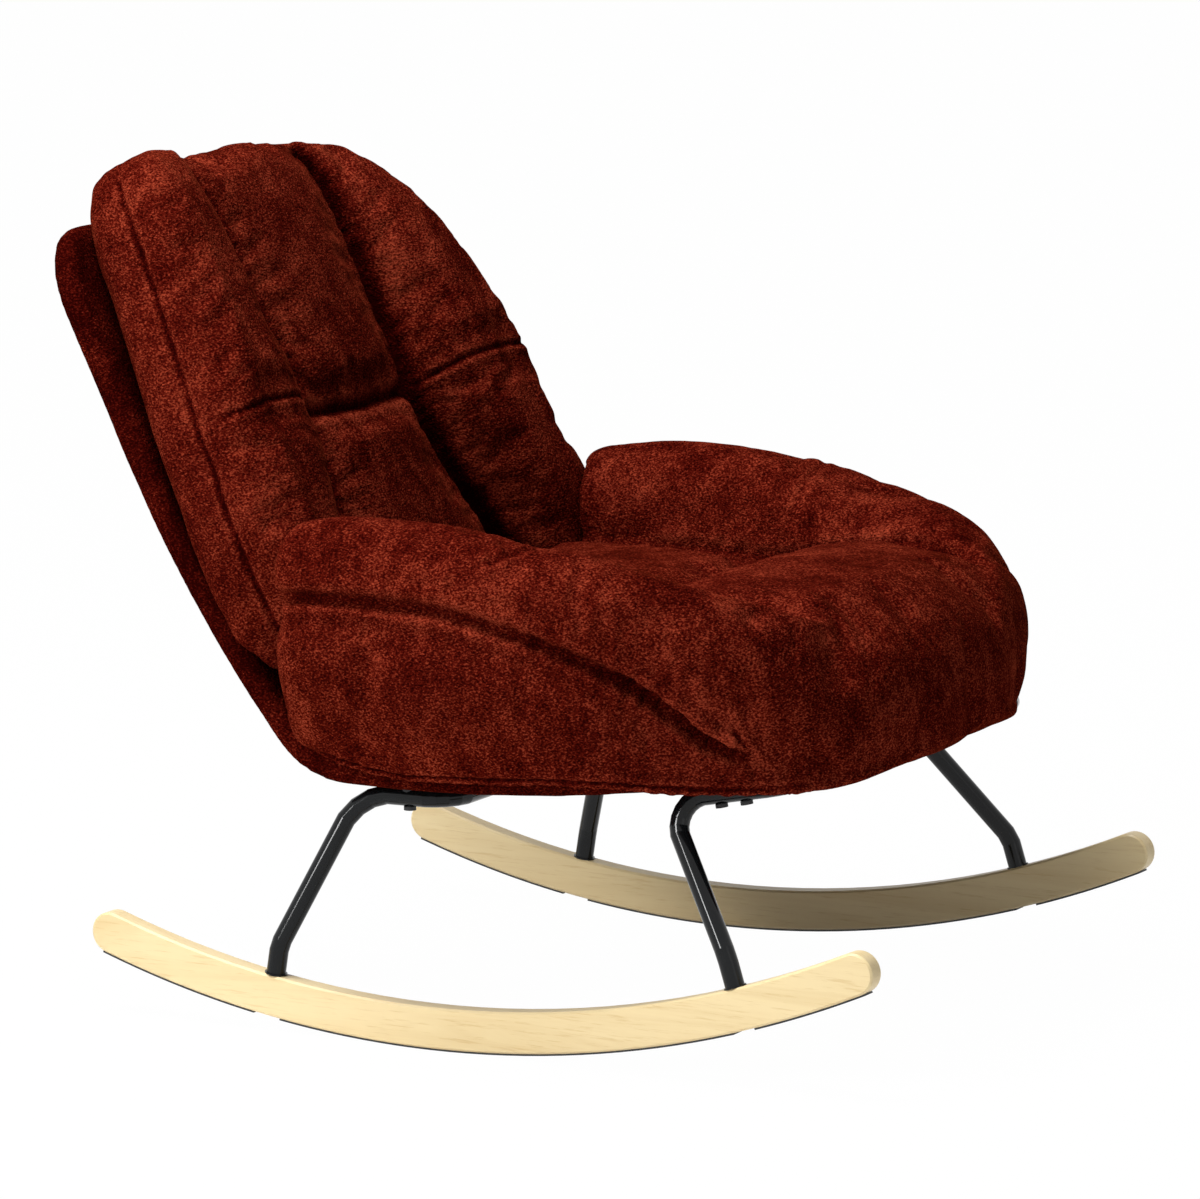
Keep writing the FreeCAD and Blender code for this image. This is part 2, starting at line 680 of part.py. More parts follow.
# Strips of hook and loop that hold the cushions
def grips():
    thick = size("grip_thickness")
    base = size("shell_thickness")
    spread = (size("grip_spacing") + size("grip_width")) / 2
    reach = size("shell_top_z")
    zones = {
        "seat": (size("grip_seat_start"), size("grip_seat_end"), 0, size("grip_back_low_z")),
        "back": (-reach, size("shell_bend_x"), size("grip_back_low_z"), size("grip_back_high_z")),
    }
    for place, (x_low, x_high, z_low, z_high) in zones.items():
        for kind, low in (("hook", base), ("loop", base + thick)):
            band = profile_slab(low, low + thick, 2 * spread)
            pieces = []
            for sign in (-1, 1):
                middle = sign * size("grip_spacing") / 2
                corner = Vector(x_low, middle - size("grip_width") / 2, z_low)
                window = Part.makeBox(x_high - x_low, size("grip_width"), z_high - z_low, corner)
                pieces.append(band.common(window))
            name = "%s_%s_strips" % (place, kind)
            keep(name, feature(name, group(pieces)))


CUSHION_LIFT = size("shell_thickness") + 2 * size("grip_thickness") + size("fit_gap")


# Cushion sections: arcs between points that bulge by a share of their chord
def bulged(start, end, bulge_share):
    """An arc from start to end that bulges up or outwards by a share of its chord."""
    chord = end - start
    side = Vector(0, -chord.z, chord.y)
    return Part.Arc(start, (start + end) * 0.5 + side * bulge_share, end).toShape()


def mirrored(point):
    return Vector(point.x, -point.y, point.z)


def section(corners, bulge_shares, crown):
    """A closed section from its right half: corners run from the bottom to the middle panel."""
    right = [bulged(a, b, share) for a, b, share in zip(corners, corners[1:], bulge_shares)]
    flipped = [mirrored(c) for c in corners]
    left = [bulged(flipped[i + 1], flipped[i], bulge_shares[i]) for i in range(len(corners) - 1)]
    middle = Part.Arc(corners[-1], crown, flipped[-1]).toShape()
    base = Part.LineSegment(flipped[0], corners[0]).toShape()
    return Part.Wire([base] + right + [middle] + left[::-1])


def eased(rows):
    """The rows with one more between each pair, on a smooth curve through them."""
    padded = rows[:1] + rows + rows[-1:]
    full = []
    for before, row, following, after in zip(padded, padded[1:], padded[2:], padded[3:]):
        full.append(row)
        full.append(tuple((9 * (b + c) - a - d) / 16 for a, b, c, d in zip(before, row, following, after)))
    return full + [rows[-1]]


def loft(sections):
    return Part.makeLoft(sections, True, True)


# Back cushion: two lobes beside a middle panel, drawn in at a seam across it.
# Each row: rise, half width, rear face, side seam, lobe's crest, valley, valley's place, crown
BACK_LOWER_SHARES = (
    (0.000, 0.660, 0.250, 0.440, 0.560, 0.475, 0.420, 0.525),
    (0.048, 0.840, 0.120, 0.490, 0.740, 0.490, 0.530, 0.610),
    (0.159, 0.949, 0.000, 0.540, 0.920, 0.480, 0.570, 0.680),
    (0.357, 0.997, 0.000, 0.560, 1.000, 0.490, 0.522, 0.737),
    (0.674, 1.000, 0.000, 0.560, 0.995, 0.490, 0.410, 0.746),
    (0.904, 0.974, 0.000, 0.560, 0.990, 0.480, 0.365, 0.710),
    (1.000, 0.965, 0.000, 0.550, 0.975, 0.440, 0.360, 0.576),
)
BACK_UPPER_SHARES = (
    (0.000, 0.965, 0.000, 0.550, 0.975, 0.440, 0.360, 0.576),
    (0.087, 0.955, 0.000, 0.560, 1.000, 0.480, 0.365, 0.710),
    (0.296, 0.923, 0.000, 0.560, 0.965, 0.490, 0.378, 0.746),
    (0.533, 0.853, 0.000, 0.550, 0.900, 0.490, 0.385, 0.737),
    (0.770, 0.769, 0.000, 0.510, 0.790, 0.470, 0.388, 0.680),
    (0.898, 0.686, 0.030, 0.440, 0.650, 0.420, 0.380, 0.576),
    (0.967, 0.593, 0.100, 0.356, 0.500, 0.373, 0.350, 0.458),
    (1.000, 0.449, 0.200, 0.290, 0.370, 0.320, 0.280, 0.370),
)
BACK_REAR_SHARE = 0.87
BACK_SIDE_SEAM_SHARE = 0.98
BACK_CREST_SHARE = 0.80
BACK_BULGE_SHARES = (0.33, 0.35, 0.15)


def back_frame():
    """The straight back's own frame: X up the rise from its start, Z out from its face."""
    centre, radius, begin, end = shell_arcs()[-1]
    origin = profile_point(centre, radius - size("shell_thickness"), end)
    rise = Vector(-math.cos(end), 0, math.sin(end))
    normal = Vector(math.sin(end), 0, math.cos(end))
    return Placement(origin, Rotation(rise, Vector(0, -1, 0), normal, "XZY"))


def back_section(shares, low, high):
    rise, width, rear, side, crest, valley, valley_place, crown = shares
    x = low + rise * (high - low)
    half = width * size("back_width") / 2
    thick = size("back_thickness")
    corners = [
        Vector(x, -half * BACK_REAR_SHARE, rear * thick),
        Vector(x, -half * BACK_SIDE_SEAM_SHARE, side * thick),
        Vector(x, -half * BACK_CREST_SHARE, crest * thick),
        Vector(x, -valley_place * size("back_width") / 2, valley * thick),
    ]
    return section(corners, BACK_BULGE_SHARES, Vector(x, 0, crown * thick))


def rounded_block(low, high, half, bottom, top, corner):
    """A block along X with four rounded upright corners."""
    c = corner * (1 - math.sqrt(0.5))
    edges = []
    turns = ((1, -1), (1, 1), (-1, 1), (-1, -1))
    ends = {1: high, -1: low}
    points = []
    for index, (sx, sy) in enumerate(turns):
        along_x = Vector(ends[sx] - sx * corner, sy * half, bottom)
        along_y = Vector(ends[sx], sy * (half - corner), bottom)
        middle = Vector(ends[sx] - sx * c, sy * (half - c), bottom)
        first, last = (along_x, along_y) if index % 2 == 0 else (along_y, along_x)
        points.append((first, middle, last))
    for (first, middle, last), following in zip(points, points[1:] + points[:1]):
        edges.append(Part.Arc(first, middle, last).toShape())
        edges.append(Part.LineSegment(last, following[0]).toShape())
    return Part.Face(Part.Wire(edges)).extrude(Vector(0, 0, top - bottom))


def shell_clearance(width):
    """All that lies behind and below the cushions' seat on the shell, across a width."""
    return profile_slab(-size("clearance_depth"), CUSHION_LIFT, width)


def back_foam(grow):
    low = CUSHION_LIFT - size("shell_thickness") + size("back_foam_lift")
    block = rounded_block(
        size("back_foam_low") - grow, size("back_foam_high") + grow, size("back_foam_width") / 2 + grow,
        low - grow, low + size("back_foam_depth") + grow, size("foam_corner") + grow,
    )
    block.Placement = back_frame()
    return block


def back_cushion():
    low, seam, high = size("back_low"), size("back_cross_seam"), size("back_high")
    lower = loft([back_section(shares, low, seam) for shares in eased(BACK_LOWER_SHARES)])
    upper = loft([back_section(shares, seam, high) for shares in eased(BACK_UPPER_SHARES)])
    whole = lower.fuse(upper)
    whole.Placement = back_frame()
    whole = whole.cut(shell_clearance(size("back_width") + 2 * size("overrun")))
    keep("back_foam", feature("back_foam", back_foam(0)))
    keep("back_cushion", feature("back_cushion", whole.cut(back_foam(size("bore_gap")))))
    return whole


# Seat cushion: a lower roll and an arm roll on each side of a middle panel.
# Each row: reach, then place and height of the bottom corner, the seam between the
# rolls, the arm's ridge and the inner crease, the middle panel's crown and the arm's bulges
SEAT_REAR_SHARES = (
    (0.000, 0.823, 0.100, 0.887, 0.672, 0.797, 0.866, 0.628, 0.563, 0.588, 0.26, 0.25),
    (0.054, 0.876, 0.025, 0.942, 0.693, 0.812, 0.950, 0.623, 0.563, 0.597, 0.25, 0.25),
    (0.166, 0.912, -0.013, 0.962, 0.693, 0.812, 0.982, 0.620, 0.563, 0.600, 0.24, 0.25),
    (0.496, 0.922, -0.020, 0.971, 0.704, 0.816, 0.998, 0.615, 0.567, 0.605, 0.26, 0.25),
    (0.807, 0.921, -0.004, 0.974, 0.687, 0.819, 0.975, 0.610, 0.571, 0.600, 0.27, 0.25),
    (0.930, 0.919, 0.002, 0.974, 0.662, 0.817, 0.955, 0.604, 0.568, 0.585, 0.28, 0.25),
    (1.000, 0.916, 0.005, 0.972, 0.650, 0.815, 0.924, 0.604, 0.559, 0.540, 0.29, 0.25),
)
SEAT_FRONT_SHARES = (
    (0.000, 0.916, 0.005, 0.972, 0.650, 0.815, 0.924, 0.604, 0.559, 0.540, 0.29, 0.25),
    (0.063, 0.911, 0.008, 0.972, 0.628, 0.816, 0.920, 0.602, 0.597, 0.626, 0.32, 0.25),
    (0.282, 0.880, 0.010, 0.935, 0.522, 0.795, 0.848, 0.599, 0.655, 0.706, 0.34, 0.25),
    (0.439, 0.820, 0.002, 0.858, 0.388, 0.750, 0.824, 0.586, 0.681, 0.727, 0.32, 0.25),
    (0.594, 0.750, -0.002, 0.786, 0.208, 0.681, 0.775, 0.544, 0.655, 0.723, 0.28, 0.22),
    (0.735, 0.650, 0.006, 0.690, 0.156, 0.583, 0.696, 0.470, 0.655, 0.710, 0.22, 0.12),
    (0.859, 0.520, 0.018, 0.552, 0.160, 0.433, 0.588, 0.317, 0.605, 0.643, 0.22, 0.05),
    (0.937, 0.390, 0.055, 0.405, 0.150, 0.296, 0.488, 0.206, 0.513, 0.550, 0.20, 0.05),
    (1.000, 0.230, 0.110, 0.238, 0.170, 0.132, 0.373, 0.079, 0.378, 0.400, 0.18, 0.05),
)
LOWER_ROLL_BULGE_SHARE = 0.105


def seat_section(shares, low, high):
    reach, *places, crown, outer_bulge, inner_bulge = shares
    x = low + reach * (high - low)
    half = size("seat_width") / 2
    height = size("seat_arm_z") - size("seat_bottom_z")
    corners = [
        Vector(x, -place * half, size("seat_bottom_z") + rise * height)
        for place, rise in zip(places[0::2], places[1::2])
    ]
    bulges = (LOWER_ROLL_BULGE_SHARE, outer_bulge, inner_bulge)
    return section(corners, bulges, Vector(x, 0, size("seat_bottom_z") + crown * height))


def seat_foam(grow):
    low = CUSHION_LIFT + size("seat_foam_lift")
    half = size("seat_foam_width") / 2 + grow
    slab = profile_slab(low - grow, low + size("seat_foam_depth") + grow, 2 * half + size("overrun"))
    block = rounded_block(
        size("seat_foam_rear_x") - grow, size("seat_foam_front_x") + grow, half,
        0, size("seat_arm_z"), size("foam_corner") + grow,
    )
    return slab.common(block)


def seat_cushion(back, front_path):
    back_x, seam, front_x = size("seat_rear_x"), size("seat_cross_seam_x"), size("seat_front_x")
    rear = loft([seat_section(shares, back_x, seam) for shares in eased(SEAT_REAR_SHARES)])
    front = loft([seat_section(shares, seam, front_x) for shares in eased(SEAT_FRONT_SHARES)])
    pan = shell_clearance(size("shell_width") + 2 * size("overrun"))
    pan = pan.common(rounded_front(size("fit_gap")))
    back.translate(back_frame().Rotation.multVec(Vector(0, 0, size("fit_gap"))))
    whole = rear.fuse(front).cut(pan).cut(back).cut(tube_clearance(front_path))
    keep("seat_foam", feature("seat_foam", seat_foam(0)))
    keep("seat_cushion", feature("seat_cushion", whole.cut(seat_foam(size("bore_gap")))))


rockers()
glide_strips()
front_frame_path = leg_frames()
foot_hardware()
frame_hardware()
shell()
grips()
seat_cushion(back_cushion(), front_frame_path)
doc.recompute()

# Every object and every shape is checked before anything is written
for obj in doc.Objects:
    if "Invalid" in obj.State or "Error" in obj.State:
        raise RuntimeError("%s failed: %s" % (obj.Label, obj.State))
for node in NODES:
    if node.Shape.isNull() or not node.Shape.isValid():
        raise RuntimeError("%s has no valid shape" % node.Label)
    print("%-24s %2d solids %12.0f mm3" % (node.Label, len(node.Shape.Solids), node.Shape.Volume))

os.makedirs("parts", exist_ok=True)
for node in NODES:
    node.Shape.exportStep(os.path.join("parts", node.Label + ".step"))
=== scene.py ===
# %% [markdown]
# Rocking armchair, dressed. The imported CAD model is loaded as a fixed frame: its wood, tube and
# hardware stay and get better materials, and its plain soft solids are replaced by sewn, stuffed
# cushions built here. Everything is in metres, with +X to the front, +Y to the sitter's left and +Z up.

# %% Load the frame
import json
import math
import bmesh
import bpy
import numpy as np
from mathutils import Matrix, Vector, noise
from mathutils.kdtree import KDTree

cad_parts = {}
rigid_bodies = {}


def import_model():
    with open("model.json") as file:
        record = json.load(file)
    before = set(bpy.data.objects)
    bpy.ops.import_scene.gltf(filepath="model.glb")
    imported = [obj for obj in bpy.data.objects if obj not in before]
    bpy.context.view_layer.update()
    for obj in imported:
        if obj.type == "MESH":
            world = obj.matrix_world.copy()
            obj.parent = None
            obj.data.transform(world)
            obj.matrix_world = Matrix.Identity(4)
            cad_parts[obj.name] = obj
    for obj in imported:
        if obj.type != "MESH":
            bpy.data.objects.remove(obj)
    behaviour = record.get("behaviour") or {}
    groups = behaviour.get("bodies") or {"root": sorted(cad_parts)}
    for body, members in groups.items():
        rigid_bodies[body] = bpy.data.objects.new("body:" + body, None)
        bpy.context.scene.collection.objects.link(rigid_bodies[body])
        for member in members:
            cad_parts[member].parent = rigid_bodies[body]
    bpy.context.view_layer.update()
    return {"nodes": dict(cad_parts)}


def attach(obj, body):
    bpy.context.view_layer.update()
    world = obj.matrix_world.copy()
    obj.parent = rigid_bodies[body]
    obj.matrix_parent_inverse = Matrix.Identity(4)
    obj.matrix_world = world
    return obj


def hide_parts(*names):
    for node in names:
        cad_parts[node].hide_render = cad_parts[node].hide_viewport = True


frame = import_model()
nodes = frame["nodes"]

# %% [markdown]
# The photograph was taken from the front right, a little above the seat, with a long lens. A camera
# set by eye would bend every comparison a little. So it was fitted to the two rockers and the four
# feet, which gave the angles, the distance and the lens.

# %% Camera
AZIMUTH = math.radians(28.0)
ELEVATION = math.radians(9.4675)
LENS = 208.595
DISTANCE = 6.86774
TARGET = Vector((0.00739, 0.0, 0.39016))


def add_camera():
    forward = Vector((-math.sin(AZIMUTH) * math.cos(ELEVATION),
                      math.cos(AZIMUTH) * math.cos(ELEVATION),
                      -math.sin(ELEVATION)))
    data = bpy.data.cameras.new("photo_camera")
    data.sensor_width = 36.0
    data.lens = LENS
    data.clip_end = 100.0
    camera = bpy.data.objects.new("photo_camera", data)
    camera.location = TARGET - forward * DISTANCE
    camera.rotation_euler = forward.to_track_quat("-Z", "Y").to_euler()
    bpy.context.scene.collection.objects.link(camera)
    bpy.context.scene.camera = camera
    print("camera at", [round(c, 3) for c in camera.location])


add_camera()

# %% [markdown]
# Each soft piece is a stack of closed sections with a skin over them. A section is drawn as the
# maker would cut it: arcs between seams, each standing out by a share of its chord. A sculpted box
# would be quicker, but its sizes could not be read off or changed. The tables below give one row for
# each place along the piece, and smooth curves fill in between the rows.

# %% Section tools
def hermite(rows, count):
    """Rows of a table, the first column its place from 0 to 1, read off along smooth curves."""
    table = np.array(rows, float)
    at = table[:, 0]
    slope = np.gradient(table, at, axis=0)
    spots = np.linspace(0.0, 1.0, count)
    index = np.clip(np.searchsorted(at, spots, side="right") - 1, 0, len(at) - 2)
    step = (at[index + 1] - at[index])[:, None]
    t = ((spots - at[index])[:, None]) / step
    a, b = table[index], table[index + 1]
    m, n = slope[index] * step, slope[index + 1] * step
    out = (2 * t**3 - 3 * t**2 + 1) * a + (t**3 - 2 * t**2 + t) * m
    out += (3 * t**2 - 2 * t**3) * b + (t**3 - t**2) * n
    out[:, 0] = spots
    return out


def bulged(start, end, bulge_share, count):
    """Points along an arc from start to end that stands out by a share of its chord."""
    start, end = np.array(start, float), np.array(end, float)
    chord = end - start
    side = np.array((chord[1], -chord[0]))
    half = 2.0 * math.atan(2.0 * abs(bulge_share) + 1e-9)
    t = np.linspace(-half, half, count)[:, None]
    run = np.sin(t) / math.sin(half)
    out = (np.cos(t) - math.cos(half)) / (1.0 - math.cos(half)) * bulge_share
    return (start + end) / 2.0 + chord * run / 2.0 + side * out


def half_section(corners, bulges, crown, fine):
    """Points (across, up) from the middle of the underside to the middle of the crown."""
    points = [np.linspace((0.0, corners[0][1]), corners[0], fine)[:-1]]
    for a, b, share in zip(corners, corners[1:], bulges):
        points.append(bulged(a, b, share, fine)[:-1])
    rise = crown - corners[-1][1]
    t = np.linspace(0.0, 1.0, fine)
    across = corners[-1][0] * np.cos(t * math.pi / 2)
    points.append(np.stack([across, corners[-1][1] + rise * np.sin(t * math.pi / 2)], axis=1))
    return np.concatenate(points)


def skin(name, near_halves, far_halves, place):
    """A closed mesh through sections; the near half lies on -Y. place gives a section's points."""
    bm = bmesh.new()
    rings = []
    for index, (near, far) in enumerate(zip(near_halves, far_halves)):
        loop = [(-y, u) for y, u in near] + [(y, u) for y, u in far[-2:0:-1]]
        rings.append([bm.verts.new(place(index, y, u)) for y, u in loop])
    for ring, following in zip(rings, rings[1:]):
        count = len(ring)
        for i in range(count):
            bm.faces.new((ring[i], ring[(i + 1) % count], following[(i + 1) % count], following[i]))
    for ring in (rings[0], rings[-1]):
        bm.faces.new(ring)
    bmesh.ops.recalc_face_normals(bm, faces=bm.faces)
    mesh = bpy.data.meshes.new(name)
    bm.to_mesh(mesh)
    bm.free()
    obj = bpy.data.objects.new(name, mesh)
    bpy.context.scene.collection.objects.link(obj)
    return obj


# %% [markdown]
# Modifiers do the steps that a hand would repeat: one cuts a neighbour's room out of a cushion, one
# turns the stretched skin into an even mesh of small voxels, and one softens what the cut left.
# Each result is written back to the mesh, so nothing is left to compute later.

# %% Modifier tools
NEAR_ENOUGH = 0.03


def apply_modifiers(obj):
    graph = bpy.context.evaluated_depsgraph_get()
    mesh = bpy.data.meshes.new_from_object(obj.evaluated_get(graph))
    obj.modifiers.clear()
    old, obj.data = obj.data, mesh
    bpy.data.meshes.remove(old)
    return obj


def carve_out(obj, cutter):
    cut = obj.modifiers.new("room", "BOOLEAN")
    cut.operation = "DIFFERENCE"
    cut.solver = "MANIFOLD"
    cut.object = cutter
    return apply_modifiers(obj)


def even_skin(obj, voxel, rounds):
    remesh = obj.modifiers.new("voxels", "REMESH")
    remesh.mode = "VOXEL"
    remesh.voxel_size = voxel
    soften = obj.modifiers.new("soften", "SMOOTH")
    soften.factor = 0.5
    soften.iterations = rounds
    return apply_modifiers(obj)


def points_of(obj):
    flat = np.empty(len(obj.data.vertices) * 3)
    obj.data.vertices.foreach_get("co", flat)
    return flat.reshape(-1, 3)


def normals_of(obj):
    flat = np.empty(len(obj.data.vertices) * 3)
    obj.data.vertex_normals.foreach_get("vector", flat)
    return flat.reshape(-1, 3)


def move_points(obj, points):
    obj.data.vertices.foreach_set("co", points.ravel())
    obj.data.update()


def give_way(obj, hard, gap):
    """Moves the points that lie inside a hard neighbour, or touch it, out to its surface."""
    points = points_of(obj)
    low = np.array(hard.bound_box).min(axis=0) - gap
    high = np.array(hard.bound_box).max(axis=0) + gap
    moved = 0
    for i in np.where(np.all((points > low) & (points < high), axis=1))[0]:
        _, spot, normal, _ = hard.closest_point_on_mesh(Vector(points[i]))
        depth = (Vector(points[i]) - spot).dot(normal)
        if depth < gap and (Vector(points[i]) - spot).length < NEAR_ENOUGH:
            points[i] = spot + normal * gap
            moved += 1
    move_points(obj, points)
    return moved


def remove(obj):
    mesh = obj.data
    bpy.data.objects.remove(obj)
    bpy.data.meshes.remove(mesh)


# %% [markdown]
# The shell is a bent plywood board in a padded cover. Its side view is one line of arcs: a long
# flat curve under the seat, a tight bend, a lumbar curve and a straight back. The cover could be a
# thickened surface, but its edge would come out sharp. So it is skinned across that line, with its
# width drawn in at the rounded corners. Places along the chair were measured from the line where
# the rockers touch the floor, and CONTACT_X moves them into the frame.

# %% Shell profile
CONTACT_X = -0.0127
SHELL_HALF, SHELL_THICK = 0.296, 0.028
SHELL_FRONT, SHELL_TOP = 0.376 + CONTACT_X, 0.760
FRONT_CORNER, TOP_CORNER = 0.135, 0.072
LOWEST_X, LOWEST_Z = -0.060 + CONTACT_X, 0.2415
FLAT_FRONT, FLAT_REAR = 0.436, 0.045
FLAT_RADIUS, BEND_RADIUS, LUMBAR_RADIUS = 1.800, 0.100, 1.440
BEND_START = math.asin(FLAT_REAR / FLAT_RADIUS)
BEND_END, LUMBAR_END = math.radians(51.0), math.radians(64.0)
SHELL_ARCS = ((FLAT_RADIUS, -math.asin(FLAT_FRONT / FLAT_RADIUS), BEND_START),
              (BEND_RADIUS, BEND_START, BEND_END), (LUMBAR_RADIUS, BEND_END, LUMBAR_END))
LINE_POINTS, WHOLE_TURN, STRAIGHT_SHARE = 220, 1.4, 3


def shell_line():
    """Points of the shell's outer face from its front to its top, and the direction inwards."""
    centre = np.array((LOWEST_X, LOWEST_Z + FLAT_RADIUS))
    points, inwards = [], []
    last = FLAT_RADIUS
    for radius, begin, end in SHELL_ARCS:
        inward = np.array((math.sin(begin), math.cos(begin)))
        centre = centre + inward * (radius - last)
        last = radius
        angles = np.linspace(begin, end, max(4, int(LINE_POINTS * (end - begin) / WHOLE_TURN)))
        for angle in angles[1:] if points else angles:
            inward = np.array((math.sin(angle), math.cos(angle)))
            points.append(centre - inward * radius)
            inwards.append(inward)
    rise = np.array((-math.cos(end), math.sin(end)))
    start = points[-1]
    length = (SHELL_TOP + SHELL_THICK - start[1]) / rise[1]
    for step in np.linspace(0.0, length, int(LINE_POINTS / STRAIGHT_SHARE))[1:]:
        points.append(start + rise * step)
        inwards.append(inward)
    return np.array(points), np.array(inwards)


# %% Shell skin
LEAST_REACH, LEAST_FLAT, LEAST_TURN = 0.0005, 0.0004, 0.0003
TURN_POINTS, FLAT_POINTS = 6, 24


def corner_width(reach, corner):
    """How far the outline draws in at a place some way from a rounded end."""
    near = np.clip(corner - reach, 0.0, corner)
    return corner - np.sqrt(np.maximum(corner**2 - near**2, 0.0))


def shell_skin(name, low, high, grow, round_edge):
    """The shell's band between two heights over its outer face, its outline grown all round."""
    line, inwards = shell_line()
    middle = line + inwards * (low + high) / 2
    front = SHELL_FRONT + grow - middle[:, 0]
    top = SHELL_TOP + grow - middle[:, 1]
    keep = (front > LEAST_REACH) & (top > LEAST_REACH)
    line, inwards, front, top = line[keep], inwards[keep], front[keep], top[keep]
    half = SHELL_HALF + grow - corner_width(front, FRONT_CORNER + grow)
    half = half - corner_width(top, TOP_CORNER + grow)
    edge = min(round_edge, (high - low) / 2 - LEAST_REACH)
    angles = np.linspace(-math.pi / 2, 0.0, TURN_POINTS)
    flat = np.linspace(0.0, 1.0, FLAT_POINTS)[:-1, None]
    halves = []
    for width, end in zip(half, np.minimum(front, top)):
        squeeze = corner_width(end, edge) if round_edge else 0.0
        bottom, upper = low + squeeze, high - squeeze
        turn = max(min(edge - squeeze, (upper - bottom) / 2 - LEAST_FLAT), LEAST_TURN)
        across = width - turn + turn * np.cos(angles)
        lower = np.stack([across, bottom + turn + turn * np.sin(angles)], 1)
        above = np.stack([across[::-1], upper - turn - turn * np.sin(angles[::-1])], 1)
        base = np.array((0.0, bottom)) * (1 - flat) + lower[0] * flat
        cover = np.array((0.0, upper)) * (1 - flat) + above[-1] * flat
        halves.append(np.concatenate([base, lower, above, cover[::-1]]))

    def place(index, across, up):
        x, z = line[index] + inwards[index] * up
        return (x, across, z)

    return skin(name, halves, halves, place)


VOXEL = 0.006
ROOM_DEPTH, CUSHION_GAP, ROOM_GROWTH = 0.060, 0.0035, 0.0003
SHELL_EDGE, SHELL_ROUNDS = 0.012, 3
pan = shell_skin("cushion_room", -ROOM_DEPTH, SHELL_THICK + CUSHION_GAP, ROOM_GROWTH, 0.0)
shell_pad = shell_skin("shell_padding", 0.0, SHELL_THICK, 0.0, SHELL_EDGE)
even_skin(shell_pad, VOXEL, SHELL_ROUNDS)
print("shell cover:", len(shell_pad.data.vertices), "points")

# %% [markdown]
# A stuffed cushion is tight between its seams and held back at them. A seam could be painted on as
# bump, but then the outline and the shadows would miss it. So each seam is a line laid on the
# cushion's surface, and every point of the cushion knows how far it lies from that line.

# %% Seam lines
SEAM_STEP = 0.003
SEAM_SEARCH = 0.07
RIDGE_AT = 1.9


def laid(obj, points):
    """A line through points, evenly spaced and laid down on the piece's surface."""
    points = np.array(points, float)
    lengths = np.linalg.norm(np.diff(points, axis=0), axis=1)
    along = np.concatenate([[0.0], np.cumsum(lengths)])
    spots = np.linspace(0.0, along[-1], max(3, int(along[-1] / SEAM_STEP)))
    line = np.stack([np.interp(spots, along, points[:, k]) for k in range(3)], axis=1)
    return np.array([obj.closest_point_on_mesh(Vector(p))[1] for p in line])


def seam_line(obj, points, width=0.0035, depth=0.003, pucker=0.0012, length=0.022, reach=0.016, ridge=0.0):
    """A seam: its groove, the height, length and reach of its puckers, and where its painted ridge highlight
    lies, which also sets how wide its painted groove shade is.
    """
    return {"line": laid(obj, points), "width": width, "depth": depth, "pucker": pucker,
            "length": length, "reach": reach, "ridge": ridge or RIDGE_AT * width}


def distances(points, line):
    """Each point's distance from the line, and how far along the line it lies."""
    tree = KDTree(len(line))
    for index, spot in enumerate(line):
        tree.insert(spot, index)
    tree.balance()
    low, high = line.min(axis=0) - SEAM_SEARCH, line.max(axis=0) + SEAM_SEARCH
    near = np.where(np.all((points > low) & (points < high), axis=1))[0]
    away = np.full(len(points), 1.0)
    where = np.zeros(len(points))
    for i in near:
        _, index, distance = tree.find(points[i])
        away[i] = distance
        where[i] = index
    return away, where


# %% [markdown]
# Fibre filling swells the cover until the seams hold it. The swell could be sculpted, but a short
# cloth run makes it together with the small wrinkles that start at a seam. The seams and the side
# that rests on the shell are pinned, the cover starts a little smaller, and pressure blows it up.
# Each point's way is capped, so that the cushion keeps its measured size.

# %% Filling
HELD_FLAT, HELD_FADE, HELD_LEVELS = 0.005, 0.022, 10
FILL_FRAMES = 14
COVER_FEEL = {"quality": 4, "mass": 0.3, "tension_stiffness": 12.0, "compression_stiffness": 8.0,
              "shear_stiffness": 5.0, "bending_stiffness": 0.4, "use_pressure": True,
              "uniform_pressure_force": 4.0, "shrink_min": -0.03}


def pin(obj, hold):
    """A vertex group that pins each point by its share, in ten levels."""
    group = obj.vertex_groups.new(name="held")
    for level in range(1, HELD_LEVELS + 1):
        chosen = np.where(np.round(hold * HELD_LEVELS) == level)[0].tolist()
        if chosen:
            group.add(chosen, level / HELD_LEVELS, "REPLACE")
    return group.name


def stuff(obj, seams, rests, cap, start_smaller):
    """Blows the cover up for a few frames with its seams and its resting side held."""
    before = points_of(obj)
    resting = rests(normals_of(obj))
    before = before - normals_of(obj) * np.where(resting, 0.0, start_smaller)[:, None]
    move_points(obj, before)
    hold = np.where(resting, 1.0, 0.0)
    for seam in seams:
        away, _ = distances(before, seam["line"])
        hold = np.maximum(hold, np.clip(1.0 - (away - HELD_FLAT) / HELD_FADE, 0.0, 1.0))
    cloth = obj.modifiers.new("filling", "CLOTH")
    for key, value in COVER_FEEL.items():
        setattr(cloth.settings, key, value)
    cloth.settings.vertex_group_mass = pin(obj, hold)
    cloth.settings.effector_weights.gravity = 0.0
    cloth.collision_settings.use_collision = False
    cloth.point_cache.frame_end = FILL_FRAMES
    for frame_number in range(1, FILL_FRAMES + 1):
        bpy.context.scene.frame_set(frame_number)
    apply_modifiers(obj)
    bpy.context.scene.frame_set(1)
    moved = points_of(obj) - before
    reach = np.linalg.norm(moved, axis=1)
    scale = np.minimum(1.0, cap / np.maximum(reach, 1e-9))
    move_points(obj, before + moved * scale[:, None])
    obj.vertex_groups.clear()
    return float(reach.max()), float(reach.mean())
